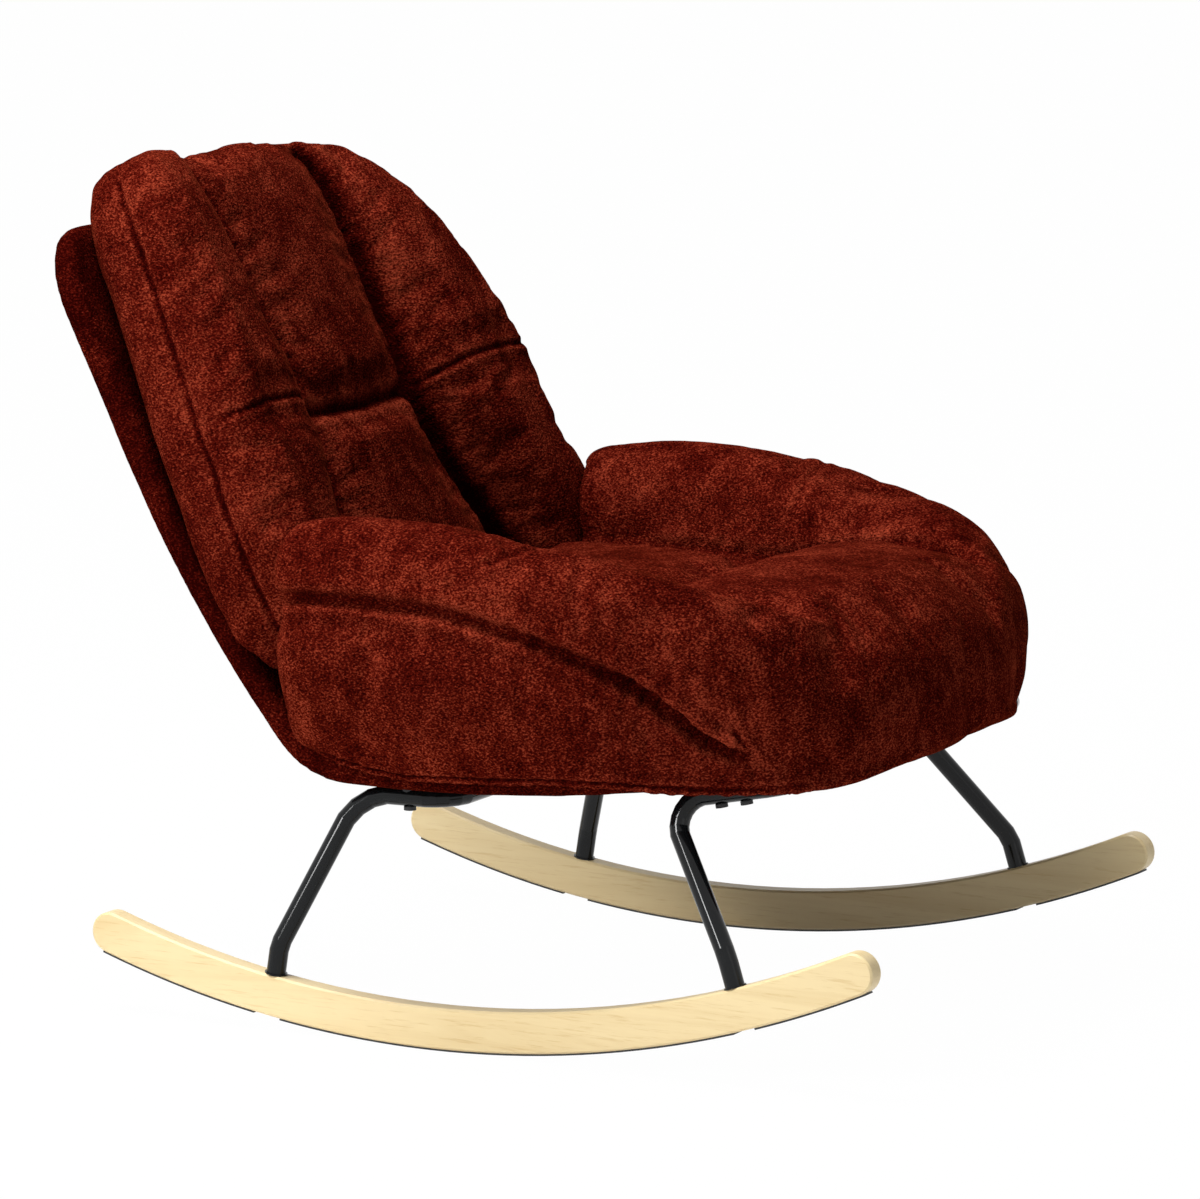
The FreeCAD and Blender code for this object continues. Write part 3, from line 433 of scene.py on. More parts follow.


# %% [markdown]
# A sewn seam shows as a groove between two lips, with puckers that fade away from it. Each is added
# along the cushion's normals, fading out at the seam's ends. A painted highlight beside each seam and a
# painted shade in its groove are kept on the mesh. A slow unevenness stands for the fibre.

# %% Pressed seams
PUCKER_SEARCH, PUCKER_WANDER, WANDER_SIZE = 0.06, 5.0, 28.0
END_FADE = 0.02
LIP_SHARE, LIP_AT, LIP_WIDTH = 0.3, 2.4, 1.3
# Strength and width of the painted seam highlight and of the painted shade in the groove.
PAINTED_RIDGE_LIGHT, RIDGE_WIDTH = 0.08, 0.5
PAINTED_GROOVE_SHADE, GROOVE_WIDTH = 0.30, 0.45
SHADE_LIMITS = (-0.30, 0.14)


def press_seams(obj, seams):
    shade = np.zeros(len(obj.data.vertices))
    for seam in seams:
        points = points_of(obj)
        normals = normals_of(obj)
        away, where = distances(points, seam["line"])
        width, depth, ridge = seam["width"], seam["depth"], seam["ridge"]
        to_end = np.minimum(where, len(seam["line"]) - 1 - where) * SEAM_STEP
        ends = np.clip(to_end / END_FADE, 0.0, 1.0)
        groove = -depth * np.exp(-(away / width) ** 2)
        lip = LIP_SHARE * depth * np.exp(-((away - LIP_AT * width) / (LIP_WIDTH * width)) ** 2)
        phase = where * SEAM_STEP / seam["length"] * 2 * math.pi
        near = away < PUCKER_SEARCH
        wander = np.array([noise.noise(Vector(p) * WANDER_SIZE) for p in points[near]])
        ripple = np.zeros(len(points))
        ripple[near] = np.sin(phase[near] + PUCKER_WANDER * wander)
        fade = np.exp(-away / seam["reach"]) * (1.0 - np.exp(-(away / width) ** 2))
        shift = ends * (groove + lip) + ends * seam["pucker"] * ripple * fade
        move_points(obj, points + normals * shift[:, None])
        # Painted highlight on the ridge beside the seam and painted shade in its groove, kept for the colour.
        painted_highlight = np.exp(-((away - ridge) / (RIDGE_WIDTH * ridge)) ** 2)
        painted_groove_shade = np.exp(-(away / (GROOVE_WIDTH * ridge)) ** 2)
        shade += ends * (PAINTED_RIDGE_LIGHT * painted_highlight - PAINTED_GROOVE_SHADE * painted_groove_shade)
    layer = obj.data.attributes.new("painted_seam_light", "FLOAT", "POINT")
    layer.data.foreach_set("value", np.clip(shade, *SHADE_LIMITS))


SMALL_SIZE, SMALL_SHARE = 0.35, 0.35


def uneven(obj, height, size, seed):
    """Slow lumps and small ones, of one height and size, moved along by a seed."""
    points = points_of(obj)
    along, aside = Vector((seed, 0.0, 0.0)), Vector((0.0, seed, 0.0))
    lumps = np.array([noise.noise(Vector(p) / size + along) for p in points])
    small = np.array([noise.noise(Vector(p) / (SMALL_SIZE * size) + aside) for p in points])
    move_points(obj, points + normals_of(obj) * (height * (lumps + SMALL_SHARE * small))[:, None])


def finer(obj):
    step = obj.modifiers.new("finer", "SUBSURF")
    step.levels = 1
    return apply_modifiers(obj)


# %% [markdown]
# The back cushion has two tall lobes beside a lower middle panel, a seam across all three, and a
# side strip. It leans on the shell's straight back, so its shape is written up that face's rise and
# out along its normal. Its sections are drawn from a table, because a stack of plain primitives
# would not give the lobes their own crests. The near lobe stands fuller and higher than the far one.

# %% Back cushion body
BACK_ORIGIN = Vector((-0.281 + CONTACT_X, 0.0, 0.600))
RISE = Vector((-0.4384, 0.0, 0.8988))
NORMAL = Vector((0.8988, 0.0, 0.4384))
FACE_OFFSET = -0.059
BACK_HALF, BACK_THICK = 0.312, 0.118
BACK_LOW, BACK_HIGH = -0.2897, 0.2583
# Each row: rise, half width, rear face, side seam, lobe's crest, valley, valley's place, crown
BACK_NEAR = (
    (0.000, 0.660, 0.250, 0.440, 0.560, 0.44, 0.420, 0.49),
    (0.022, 0.840, 0.120, 0.490, 0.740, 0.44, 0.530, 0.56),
    (0.073, 0.949, 0.028, 0.540, 0.920, 0.43, 0.570, 0.62),
    (0.164, 0.997, 0.028, 0.560, 1.000, 0.43, 0.522, 0.66),
    (0.310, 1.000, 0.028, 0.560, 0.995, 0.43, 0.410, 0.67),
    (0.415, 0.974, 0.028, 0.560, 0.990, 0.46, 0.365, 0.66),
    (0.460, 0.965, 0.028, 0.550, 0.985, 0.47, 0.360, 0.61),
    (0.507, 0.955, 0.028, 0.560, 1.000, 0.46, 0.365, 0.66),
    (0.620, 0.923, 0.028, 0.560, 0.965, 0.43, 0.378, 0.67),
    (0.748, 0.875, 0.028, 0.550, 0.930, 0.43, 0.385, 0.67),
    (0.876, 0.828, 0.028, 0.510, 0.870, 0.42, 0.388, 0.62),
    (0.945, 0.760, 0.040, 0.440, 0.760, 0.38, 0.380, 0.54),
    (0.982, 0.680, 0.100, 0.356, 0.600, 0.35, 0.350, 0.44),
    (1.000, 0.530, 0.200, 0.290, 0.430, 0.31, 0.280, 0.37),
)
FAR_CRESTS = (0.560, 0.740, 0.920, 1.004, 0.992, 0.983, 1.005, 1.010, 0.949, 0.869, 0.680, 0.520,
              0.430, 0.350)
FAR_WIDTHS = (0.660, 0.840, 0.949, 0.997, 1.000, 0.974, 0.965, 0.955, 0.923, 0.853, 0.769, 0.686,
              0.593, 0.449)
BACK_FAR = tuple((row[0], width, row[2], row[3], crest, *row[5:])
                 for row, width, crest in zip(BACK_NEAR, FAR_WIDTHS, FAR_CRESTS))
BACK_BULGES = (0.33, 0.35, 0.19)
REAR_CORNER, SIDE_SEAM, CREST = 0.87, 0.98, 0.80
FAR_DROP, NEAR_DIP = 0.015, 0.007
HALF_POINTS, BACK_SECTIONS, CUSHION_ROUNDS = 16, 120, 5


def ease(value):
    value = np.clip(value, 0.0, 1.0)
    return value * value * (3.0 - 2.0 * value)


def back_point(rise, across, out):
    """A place on the cushion. Its top hangs lower on the far lobe and dips beside the near one."""
    drop = FAR_DROP * ease((rise - 0.10) / 0.14) * ease((across - 0.02) / 0.13)
    drop += NEAR_DIP * ease((rise - 0.20) / 0.05) * math.exp(-((across + 0.06) / 0.06) ** 2)
    return BACK_ORIGIN + RISE * (rise - drop) + NORMAL * (out + FACE_OFFSET) + Vector((0.0, across, 0.0))


def back_body():
    near, far = hermite(BACK_NEAR, BACK_SECTIONS), hermite(BACK_FAR, BACK_SECTIONS)
    halves = []
    for rows in (near, far):
        side = []
        for rise, width, rear, seam, crest, valley, place, crown in rows:
            half = width * BACK_HALF
            corners = [(REAR_CORNER * half, rear * BACK_THICK), (SIDE_SEAM * half, seam * BACK_THICK),
                       (CREST * half, crest * BACK_THICK), (place * BACK_HALF, valley * BACK_THICK)]
            side.append(half_section(corners, BACK_BULGES, crown * BACK_THICK, HALF_POINTS))
        halves.append(side)

    def place(index, across, out):
        rise = BACK_LOW + near[index][0] * (BACK_HIGH - BACK_LOW)
        return back_point(rise, across, out)

    return skin("back_cushion_soft", halves[0], halves[1], place)


back_pad = even_skin(carve_out(back_body(), pan), VOXEL, CUSHION_ROUNDS)
print("back cushion body:", len(back_pad.data.vertices), "points")

# %% [markdown]
# The back's seams follow the same tables as its sections: a deep valley on each side of the middle
# panel, a fine seam where the side strip joins, and a seam across that presses the middle panel
# deeper than the lobes. Lines drawn by hand would drift off the crests when a table changes.

# %% Back cushion seams
SEAM_ROWS = 60
CROSS_RISE, LOBE_CROSS, PANEL_CROSS = -0.038, 0.114, 0.112


def back_line(first, last, columns, side):
    """Points of a seam up one side: its place across and out come from two table columns."""
    points = []
    for row in hermite(BACK_NEAR if side < 0 else BACK_FAR, SEAM_ROWS)[first:last]:
        across, out = columns(row)
        rise = BACK_LOW + row[0] * (BACK_HIGH - BACK_LOW)
        points.append(back_point(rise, side * across, out))
    return points


def valley_of(row):
    return row[6] * BACK_HALF, row[5] * BACK_THICK


def side_seam_of(row):
    return SIDE_SEAM * row[1] * BACK_HALF, row[3] * BACK_THICK


back_seams = []
for side in (-1, 1):
    back_seams.append(seam_line(back_pad, back_line(4, 59, valley_of, side), width=0.0085, depth=0.0095,
                                pucker=0.0016, length=0.034, reach=0.022, ridge=0.034))
    back_seams.append(seam_line(back_pad, back_line(2, 58, side_seam_of, side), width=0.003,
                                depth=0.0030, pucker=0.0004))
    across_lobe = [back_point(-0.030, side * 0.295, 0.085), back_point(-0.026, side * 0.24, 0.13),
                   back_point(-0.027, side * 0.17, 0.115), back_point(CROSS_RISE, side * LOBE_CROSS, 0.050)]
    back_seams.append(seam_line(back_pad, across_lobe, width=0.003, depth=0.0028, pucker=0.0012))
across_middle = [back_point(CROSS_RISE, -PANEL_CROSS, 0.050), back_point(-0.044, 0.0, 0.070),
                 back_point(CROSS_RISE, PANEL_CROSS, 0.050)]
back_seams.append(seam_line(back_pad, across_middle, width=0.006, depth=0.006, pucker=0.0018,
                            length=0.03, reach=0.024))
print("back cushion seams:", len(back_seams))

# %% [markdown]
# The seat cushion wraps round the sitter: on each side a lower roll and an arm roll above it, and
# in the middle a panel with a seam across and a full front edge. Separate rolls would leave gaps
# where the real cover is sewn in one, so one skin takes them all in. Both cushions give way to the
# shell, and the seat cushion gives way to the back cushion, as stuffed pieces do.

# %% Seat cushion body
SEAT_HALF = 0.379
SEAT_REAR, SEAT_FRONT = -0.148 + CONTACT_X, 0.430 + CONTACT_X
SEAT_LONG = SEAT_FRONT - SEAT_REAR
SEAT_BOTTOM, ARM_TOP = 0.268, 0.506
SEAT_TALL = ARM_TOP - SEAT_BOTTOM
LOWER_ROLL_BULGE = 0.13
ARM_END_SHIFT = 0.011
SEAT_SECTIONS = 140
# Each row: reach, then place and height of the bottom corner, the seam between the rolls, the
# arm's ridge and the inner crease, the middle panel's crown and the arm's two bulges
SEAT_NEAR = (
    (0.000, 0.823, 0.130, 0.887, 0.672, 0.797, 0.866, 0.628, 0.563, 0.588, 0.26, 0.25),
    (0.024, 0.876, 0.090, 0.942, 0.693, 0.815, 0.958, 0.623, 0.563, 0.597, 0.26, 0.25),
    (0.074, 0.913, 0.060, 0.966, 0.706, 0.823, 0.992, 0.620, 0.563, 0.600, 0.26, 0.25),
    (0.221, 0.923, -0.012, 0.971, 0.710, 0.823, 1.000, 0.615, 0.567, 0.605, 0.26, 0.25),
    (0.360, 0.923, -0.004, 0.968, 0.685, 0.823, 0.979, 0.610, 0.571, 0.600, 0.26, 0.25),
    (0.415, 0.921, 0.004, 0.963, 0.655, 0.820, 0.956, 0.604, 0.568, 0.585, 0.26, 0.25),
    (0.446, 0.918, 0.008, 0.958, 0.639, 0.818, 0.940, 0.604, 0.575, 0.560, 0.26, 0.25),
    (0.481, 0.913, 0.013, 0.950, 0.613, 0.818, 0.941, 0.602, 0.597, 0.626, 0.26, 0.25),
    (0.602, 0.887, 0.017, 0.902, 0.504, 0.797, 0.874, 0.599, 0.655, 0.706, 0.26, 0.25),
    (0.689, 0.831, 0.004, 0.834, 0.374, 0.755, 0.815, 0.586, 0.681, 0.727, 0.26, 0.25),
    (0.775, 0.772, -0.006, 0.780, 0.202, 0.681, 0.765, 0.544, 0.655, 0.723, 0.24, 0.22),
    (0.853, 0.705, 0.000, 0.710, 0.150, 0.588, 0.681, 0.470, 0.655, 0.710, 0.19, 0.12),
    (0.922, 0.570, 0.010, 0.575, 0.155, 0.440, 0.560, 0.317, 0.605, 0.643, 0.18, 0.05),
    (0.965, 0.425, 0.045, 0.430, 0.170, 0.300, 0.471, 0.206, 0.513, 0.550, 0.18, 0.05),
    (1.000, 0.220, 0.110, 0.228, 0.200, 0.132, 0.361, 0.079, 0.378, 0.400, 0.16, 0.05),
)
SEAT_FAR = (
    (0.000, 0.82, 0.13, 0.89, 0.67, 0.80, 0.87, 0.63, 0.56, 0.588, 0.26, 0.25),
    (0.024, 0.88, 0.09, 0.93, 0.68, 0.80, 0.94, 0.62, 0.56, 0.597, 0.24, 0.25),
    (0.074, 0.91, 0.06, 0.95, 0.68, 0.80, 0.97, 0.62, 0.56, 0.600, 0.23, 0.25),
    (0.221, 0.92, -0.02, 0.97, 0.70, 0.81, 1.00, 0.62, 0.57, 0.605, 0.25, 0.25),
    (0.360, 0.92, -0.01, 0.98, 0.69, 0.81, 0.97, 0.61, 0.57, 0.600, 0.29, 0.25),
    (0.415, 0.92, 0.00, 0.985, 0.67, 0.81, 0.95, 0.60, 0.57, 0.585, 0.31, 0.25),
    (0.446, 0.91, 0.00, 0.99, 0.66, 0.81, 0.92, 0.60, 0.575, 0.560, 0.34, 0.25),
    (0.481, 0.91, 0.00, 0.99, 0.64, 0.81, 0.89, 0.60, 0.60, 0.626, 0.38, 0.25),
    (0.602, 0.86, 0.00, 0.96, 0.55, 0.79, 0.82, 0.60, 0.655, 0.706, 0.41, 0.25),
    (0.689, 0.78, -0.01, 0.87, 0.40, 0.74, 0.83, 0.59, 0.68, 0.727, 0.37, 0.25),
    (0.775, 0.70, -0.01, 0.78, 0.22, 0.68, 0.79, 0.54, 0.655, 0.723, 0.31, 0.22),
    (0.853, 0.61, 0.00, 0.67, 0.16, 0.58, 0.71, 0.47, 0.655, 0.710, 0.25, 0.12),
    (0.922, 0.49, 0.03, 0.54, 0.17, 0.43, 0.62, 0.32, 0.605, 0.643, 0.26, 0.05),
    (0.965, 0.35, 0.07, 0.39, 0.15, 0.29, 0.51, 0.21, 0.51, 0.550, 0.23, 0.05),
    (1.000, 0.18, 0.13, 0.21, 0.20, 0.13, 0.39, 0.08, 0.38, 0.400, 0.18, 0.05),
)


def seat_body():
    near, far = hermite(SEAT_NEAR, SEAT_SECTIONS), hermite(SEAT_FAR, SEAT_SECTIONS)
    halves = []
    for rows in (near, far):
        side = []
        for row in rows:
            corners = [(row[i] * SEAT_HALF, row[i + 1] * SEAT_TALL) for i in (1, 3, 5, 7)]
            bulges = (LOWER_ROLL_BULGE, row[10], row[11])
            side.append(half_section(corners, bulges, row[9] * SEAT_TALL, HALF_POINTS))
        halves.append(side)

    def place(index, across, up):
        reach = near[index][0]
        on_arm = ease((up - 0.16) / 0.03) * ease((abs(across) - 0.25) / 0.04)
        back_shift = ARM_END_SHIFT * on_arm * (1.0 - ease(reach / 0.12))
        return (SEAT_REAR + reach * SEAT_LONG - back_shift, across, SEAT_BOTTOM + up)

    return skin("seat_cushion_soft", halves[0], halves[1], place)


seat_pad = even_skin(carve_out(carve_out(seat_body(), pan), back_pad), VOXEL, CUSHION_ROUNDS)
remove(pan)
print("seat cushion body:", len(seat_pad.data.vertices), "points")

# %% [markdown]
# Four seams follow the tables: on each side the groove between the rolls, the hem round the bottom
# and the crease inside the arm. The others cross the sections, so they are drawn through points
# that were read from the photograph: the middle panel's cross seam, one over each arm and one down
# each front corner.

# %% Seat cushion seams
HEM_RISE, SEAT_ROWS = 0.009, 80
NEAR_FRONT_SEAM = ((253, -341, 418), (279, -323, 383), (301, -305, 360), (312, -294, 350),
                   (319, -287, 325), (334, -271, 298), (345, -255, 284))
FAR_FRONT_SEAM = ((384, 160, 420), (396, 150, 400), (405, 138, 380), (412, 125, 345), (414, 115, 310))
ARM_SEAM = ((112, -232, 418), (112, -255, 462), (110, -290, 490), (104, -325, 500), (92, -348, 492),
            (70, -362, 478))
FAR_ARM_SEAM = ((112, 232, 418), (112, 255, 462), (110, 290, 488), (106, 325, 492), (96, 352, 480))
MIDDLE_SEAM = ((108, -225, 415), (116, -190, 408), (126, -120, 402), (132, 0, 400), (126, 120, 402),
               (116, 190, 408), (108, 225, 415))


def seat_line(first, last, column, side, rise=0.0):
    """Points of a seam along one side, its place and height read from two table columns."""
    points = []
    for row in hermite(SEAT_NEAR if side < 0 else SEAT_FAR, SEAT_ROWS):
        x = SEAT_REAR + row[0] * SEAT_LONG
        if first <= x - CONTACT_X <= last:
            up = SEAT_BOTTOM + row[column + 1] * SEAT_TALL + rise
            points.append((x, side * row[column] * SEAT_HALF, up))
    return points


def placed(points):
    """Points in millimetres from the rockers' contact line, moved into the chair's frame."""
    return [(x / 1000 + CONTACT_X, y / 1000, z / 1000) for x, y, z in points]


seat_seams = []


def seat_seam(points, *sizes):
    """Adds a seam; sizes are its width and depth, then its puckers' height, length and reach."""
    seat_seams.append(seam_line(seat_pad, points, *sizes))


for side, roll_end, hem_end in ((-1, 0.338, 0.385), (1, 0.385, 0.25)):
    seat_seam(seat_line(-0.146, roll_end, 3, side), 0.0055, 0.016, 0.0020, 0.03, 0.022)
    seat_seam(seat_line(-0.10, hem_end, 1, side, HEM_RISE), 0.0025, 0.003, 0.0010, 0.018)
    seat_seam(seat_line(-0.060, 0.330, 7, side), 0.0055, 0.009, 0.0018, 0.032, 0.024)
seat_seam(placed(MIDDLE_SEAM), 0.007, 0.012, 0.0025, 0.036, 0.028)
seat_seam(placed(ARM_SEAM), 0.0045, 0.006, 0.0022, 0.026, 0.022)
seat_seam(placed(FAR_ARM_SEAM), 0.004, 0.004, 0.0014)
seat_seam(placed(NEAR_FRONT_SEAM), 0.003, 0.003, 0.001)
seat_seam(placed(FAR_FRONT_SEAM), 0.003, 0.003, 0.001)
print("seat cushion seams:", len(seat_seams))

# %% [markdown]
# Now the covers are filled and the seams are pressed. Last, the seat cushion gives way to the frame's
# tube that crosses under it: points inside the tube are moved to its surface, as soft filling would be
# pushed aside.

# %% Fill and finish the soft pieces
LUMP_HEIGHT, LUMP_SIZE = 0.0015, 0.075
SHELL_LUMP_HEIGHT, SHELL_LUMP_SIZE = 0.0010, 0.09
TUBE_GAP = 0.0020


def leans_back(normals):
    return normals @ np.array(NORMAL) < -0.2


def lies_down(normals):
    return normals[:, 2] < -0.3


for pad, seams, rests, cap, start_smaller in ((back_pad, back_seams, leans_back, 0.007, 0.0010),
                                              (seat_pad, seat_seams, lies_down, 0.009, 0.0045)):
    most, mean = stuff(pad, seams, rests, cap, start_smaller)
    print(pad.name, "swelled by", round(mean * 1000, 1), "mm, at most", round(most * 1000, 1))
for pad, seams, seed in ((back_pad, back_seams, 3.0), (seat_pad, seat_seams, 11.0)):
    finer(pad)
    press_seams(pad, seams)
    uneven(pad, LUMP_HEIGHT, LUMP_SIZE, seed)
    print(pad.name, "has", len(pad.data.vertices), "points")
uneven(shell_pad, SHELL_LUMP_HEIGHT, SHELL_LUMP_SIZE, 7.0)
print("points moved off the front tube:", give_way(seat_pad, nodes["front_leg_frame"], TUBE_GAP))

# %% [markdown]
# Materials are wired from nodes. A few helpers keep the wiring short: one makes a node and links or
# sets its inputs, and others add, blend, stretch and remap. Values that are the same all over a
# surface are set on the shader itself, and groups carry only what changes over it.

# %% Node helpers
def node(tree, kind, inputs=None, **settings):
    """A new shader node; a socket among its inputs is linked, any other value is set."""
    made = tree.nodes.new(kind)
    for key, value in settings.items():
        setattr(made, key, value)
    for key, value in (inputs or {}).items():
        if isinstance(value, bpy.types.NodeSocket):
            tree.links.new(value, made.inputs[key])
        else:
            made.inputs[key].default_value = value
    return made


def stretched(tree, vector, scale, turn=(0.0, 0.0, 0.0)):
    made = node(tree, "ShaderNodeMapping", {"Vector": vector, "Scale": scale, "Rotation": turn})
    return made.outputs["Vector"]


def noise_of(tree, vector, scale, detail=2.0, roughness=0.5, distortion=0.0):
    return node(tree, "ShaderNodeTexNoise", {"Vector": vector, "Scale": scale, "Detail": detail,
                                             "Roughness": roughness, "Distortion": distortion}).outputs["Fac"]


def math_of(tree, operation, first, second):
    return node(tree, "ShaderNodeMath", {0: first, 1: second}, operation=operation).outputs["Value"]


def weighed(tree, first, share, second, other_share):
    """Two values added, each by its own share."""
    return math_of(tree, "ADD", math_of(tree, "MULTIPLY", first, share),
                   math_of(tree, "MULTIPLY", second, other_share))


def ranged(tree, value, low, high, to_low=0.0, to_high=1.0):
    made = node(tree, "ShaderNodeMapRange", {"Value": value, "From Min": low, "From Max": high,
                                             "To Min": to_low, "To Max": to_high})
    return made.outputs["Result"]


def blend(tree, factor, first, second):
    """Two colours mixed by a factor."""
    return node(tree, "ShaderNodeMix", {0: factor, 6: first, 7: second}, data_type="RGBA").outputs[2]


def new_group(name, colors, values, results):
    """A node group with named inputs and outputs. Gives it with its two ends and coordinates."""
    group = bpy.data.node_groups.new(name, "ShaderNodeTree")
    for title, color in colors.items():
        socket = group.interface.new_socket(title, in_out="INPUT", socket_type="NodeSocketColor")
        socket.default_value = (*color, 1.0)
    for title, value in values.items():
        socket = group.interface.new_socket(title, in_out="INPUT", socket_type="NodeSocketFloat")
        socket.default_value = value
    for title, kind in results.items():
        group.interface.new_socket(title, in_out="OUTPUT", socket_type=kind)
    given, put_out = group.nodes.new("NodeGroupInput"), group.nodes.new("NodeGroupOutput")
    return group, given.outputs, put_out.inputs, node(group, "ShaderNodeTexCoord").outputs["Object"]


def new_material(name, roughness=0.5, **constants):
    """A material with its tree and shader; constants sit on the shader."""
    material = bpy.data.materials.new(name)
    material.use_nodes = True
    shader = material.node_tree.nodes["Principled BSDF"]
    shader.inputs["Roughness"].default_value = roughness
    for key, value in constants.items():
        shader.inputs[key.replace("_", " ")].default_value = value
    return material, material.node_tree, shader


def use_group(tree, group, colors, values):
    """A group placed in a material with its own values."""
    made = node(tree, "ShaderNodeGroup", node_tree=group)
    for title, color in colors.items():
        made.inputs[title].default_value = (*color, 1.0)
    for title, value in values.items():
        made.inputs[title].default_value = value
    return made


def bump_into(tree, shader, height, distance, strength=1.0):
    bump = node(tree, "ShaderNodeBump", {"Height": height, "Distance": distance, "Strength": strength})
    tree.links.new(bump.outputs["Normal"], shader.inputs["Normal"])


# %% [markdown]
# The cover is a rust chenille: short soft pile that lies this way and that, so it shows light and
# dark patches, with fine knots of yarn between them. A picture of cloth would repeat and blur close
# up. So nodes make the patches from slow noise and the yarn from small stretched cells. The shell's
# cover is a darker copy of the same cloth, a painted shade, so one group serves two materials.

# %% Chenille
RUST_COLORS = {"Deep": (0.0150, 0.0006, 0.0004), "Middle": (0.0660, 0.0040, 0.0019),
               "Bright": (0.3000, 0.0440, 0.0190)}
YARN_SLANT = (0.5, 0.35, 0.7)
BRUSHED_SCALE, BRUSHED_TURN = (60.0, 60.0, 22.0), (0.4, 0.6, 0.2)
KNOT_SCALE, FLECK_SCALE, TUFT_SCALE = (330.0, 330.0, 520.0), (420.0, 420.0, 640.0), (150.0, 150.0, 240.0)
DEEP_AT, MIDDLE_AT, BRIGHT_AT = 0.73, 0.96, 1.30


def make_pile_group():
    """Pile with slow light and dark patches, brushed streaks and small knots of yarn."""
    group, given, put_out, place = new_group("chenille_pile", RUST_COLORS, {"Lift": 0.0},
                                             {"Color": "NodeSocketColor", "Height": "NodeSocketFloat"})
    slow = noise_of(group, place, 15.0, 4.0, 0.62, 0.8)
    brushed = noise_of(group, stretched(group, place, BRUSHED_SCALE, BRUSHED_TURN), 1.0, 3.0, 0.6, 0.5)
    patches = weighed(group, slow, 0.50, brushed, 0.34)
    yarn = node(group, "ShaderNodeTexVoronoi", {"Vector": stretched(group, place, KNOT_SCALE, YARN_SLANT),
                                                "Scale": 1.0, "Randomness": 0.9}, feature="SMOOTH_F1")
    knots = yarn.outputs["Distance"]
    flecks = noise_of(group, stretched(group, place, FLECK_SCALE, YARN_SLANT), 1.0, 2.0, 0.6)
    fine = weighed(group, flecks, 1.15, knots, -0.12)
    # The level's last input is painted light: painted seam highlights and shade, and a painted shade over the
    # shell's cover.
    level = math_of(group, "ADD", math_of(group, "ADD", patches, fine), given["Lift"])
    low = blend(group, ranged(group, level, DEEP_AT, MIDDLE_AT), given["Deep"], given["Middle"])
    color = blend(group, ranged(group, level, MIDDLE_AT, BRIGHT_AT), low, given["Bright"])
    tufts = noise_of(group, stretched(group, place, TUFT_SCALE, YARN_SLANT), 1.0, 2.0)
    group.links.new(color, put_out["Color"])
    group.links.new(weighed(group, tufts, 0.9, knots, -0.5), put_out["Height"])
    return group


def make_chenille(name, group, painted_shade, sheen):
    material, tree, shader = new_material(name, 0.92, Sheen_Weight=sheen, Sheen_Roughness=0.30,
                                          Sheen_Tint=(1.0, 0.15, 0.05, 1.0), Specular_IOR_Level=0.0)
    pile = use_group(tree, group, RUST_COLORS, {})
    # Reads the painted seam highlight and shade from the mesh and adds this material's painted shade.
    seam = node(tree, "ShaderNodeAttribute", attribute_name="painted_seam_light")
    tree.links.new(math_of(tree, "ADD", seam.outputs["Fac"], painted_shade), pile.inputs["Lift"])
    tree.links.new(pile.outputs["Color"], shader.inputs["Base Color"])
    bump_into(tree, shader, pile.outputs["Height"], 0.0020, 0.8)
    return material


pile_group = make_pile_group()
chenille = make_chenille("rust_chenille", pile_group, 0.0, 0.06)
# The shell's cover: the same cloth, darkened by a painted shade.
painted_shade_chenille = make_chenille("rust_chenille_painted_shade", pile_group, -0.14, 0.03)
print("materials:", chenille.name, painted_shade_chenille.name)

# %% [markdown]
# The rockers are solid rubberwood: pale, with short pores and faint streaks along the length. Rings
# would suit a turned piece, but a sawn board shows nearly straight grain, so noise is stretched
# along X. The shell's plywood board has the same grain in other colours, so both share one group.

# %% Wood grain
BAND_SCALE, BAND_TURN, PORE_SCALE = (2.2, 26.0, 34.0), (0.0, 0.0, 0.05), (26.0, 420.0, 420.0)
PALE_WOOD = {"Light": (0.82, 0.655, 0.365), "Dark": (0.62, 0.425, 0.175)}
BOARD_WOOD = {"Light": (0.62, 0.45, 0.26), "Dark": (0.42, 0.27, 0.13)}


def make_grain_group():
    """Faint growth bands and short pores along X."""
    group, given, put_out, place = new_group("wood_grain", PALE_WOOD, {"Pores": 0.5, "Bands": 0.5},
                                             {"Color": "NodeSocketColor", "Height": "NodeSocketFloat"})
    bands = noise_of(group, stretched(group, place, BAND_SCALE, BAND_TURN), 1.0, 4.0, 0.6, 1.2)
    pores = noise_of(group, stretched(group, place, PORE_SCALE), 1.0, 3.0, 0.65)
    streaks = math_of(group, "MULTIPLY", ranged(group, pores, 0.56, 0.70), given["Pores"])
    banded = math_of(group, "MULTIPLY", ranged(group, bands, 0.36, 0.68), given["Bands"])
    amount = math_of(group, "ADD", banded, streaks)
    group.links.new(blend(group, amount, given["Light"], given["Dark"]), put_out["Color"])
    group.links.new(math_of(group, "MULTIPLY", streaks, -1.0), put_out["Height"])
    return group


def make_wood(name, group, colors, pores, bands, roughness):
    material, tree, shader = new_material(name, roughness)
    grain = use_group(tree, group, colors, {"Pores": pores, "Bands": bands})
    tree.links.new(grain.outputs["Color"], shader.inputs["Base Color"])
    bump_into(tree, shader, grain.outputs["Height"], 0.0002, 0.5)
    return material


grain_group = make_grain_group()
rubberwood = make_wood("rubberwood", grain_group, PALE_WOOD, 0.45, 0.42, 0.42)
plywood = make_wood("plywood_board", grain_group, BOARD_WOOD, 0.7, 0.6, 0.7)
print("materials:", rubberwood.name, plywood.name)

# %% [markdown]
# The tube frames are powder coated in gloss black. The strips, the zinc hardware, the foam and the
# grip tape each need a little unevenness too, so one speckle group gives them all a mask. It sets
# the colour, the roughness and a very low bump, each in its own range.

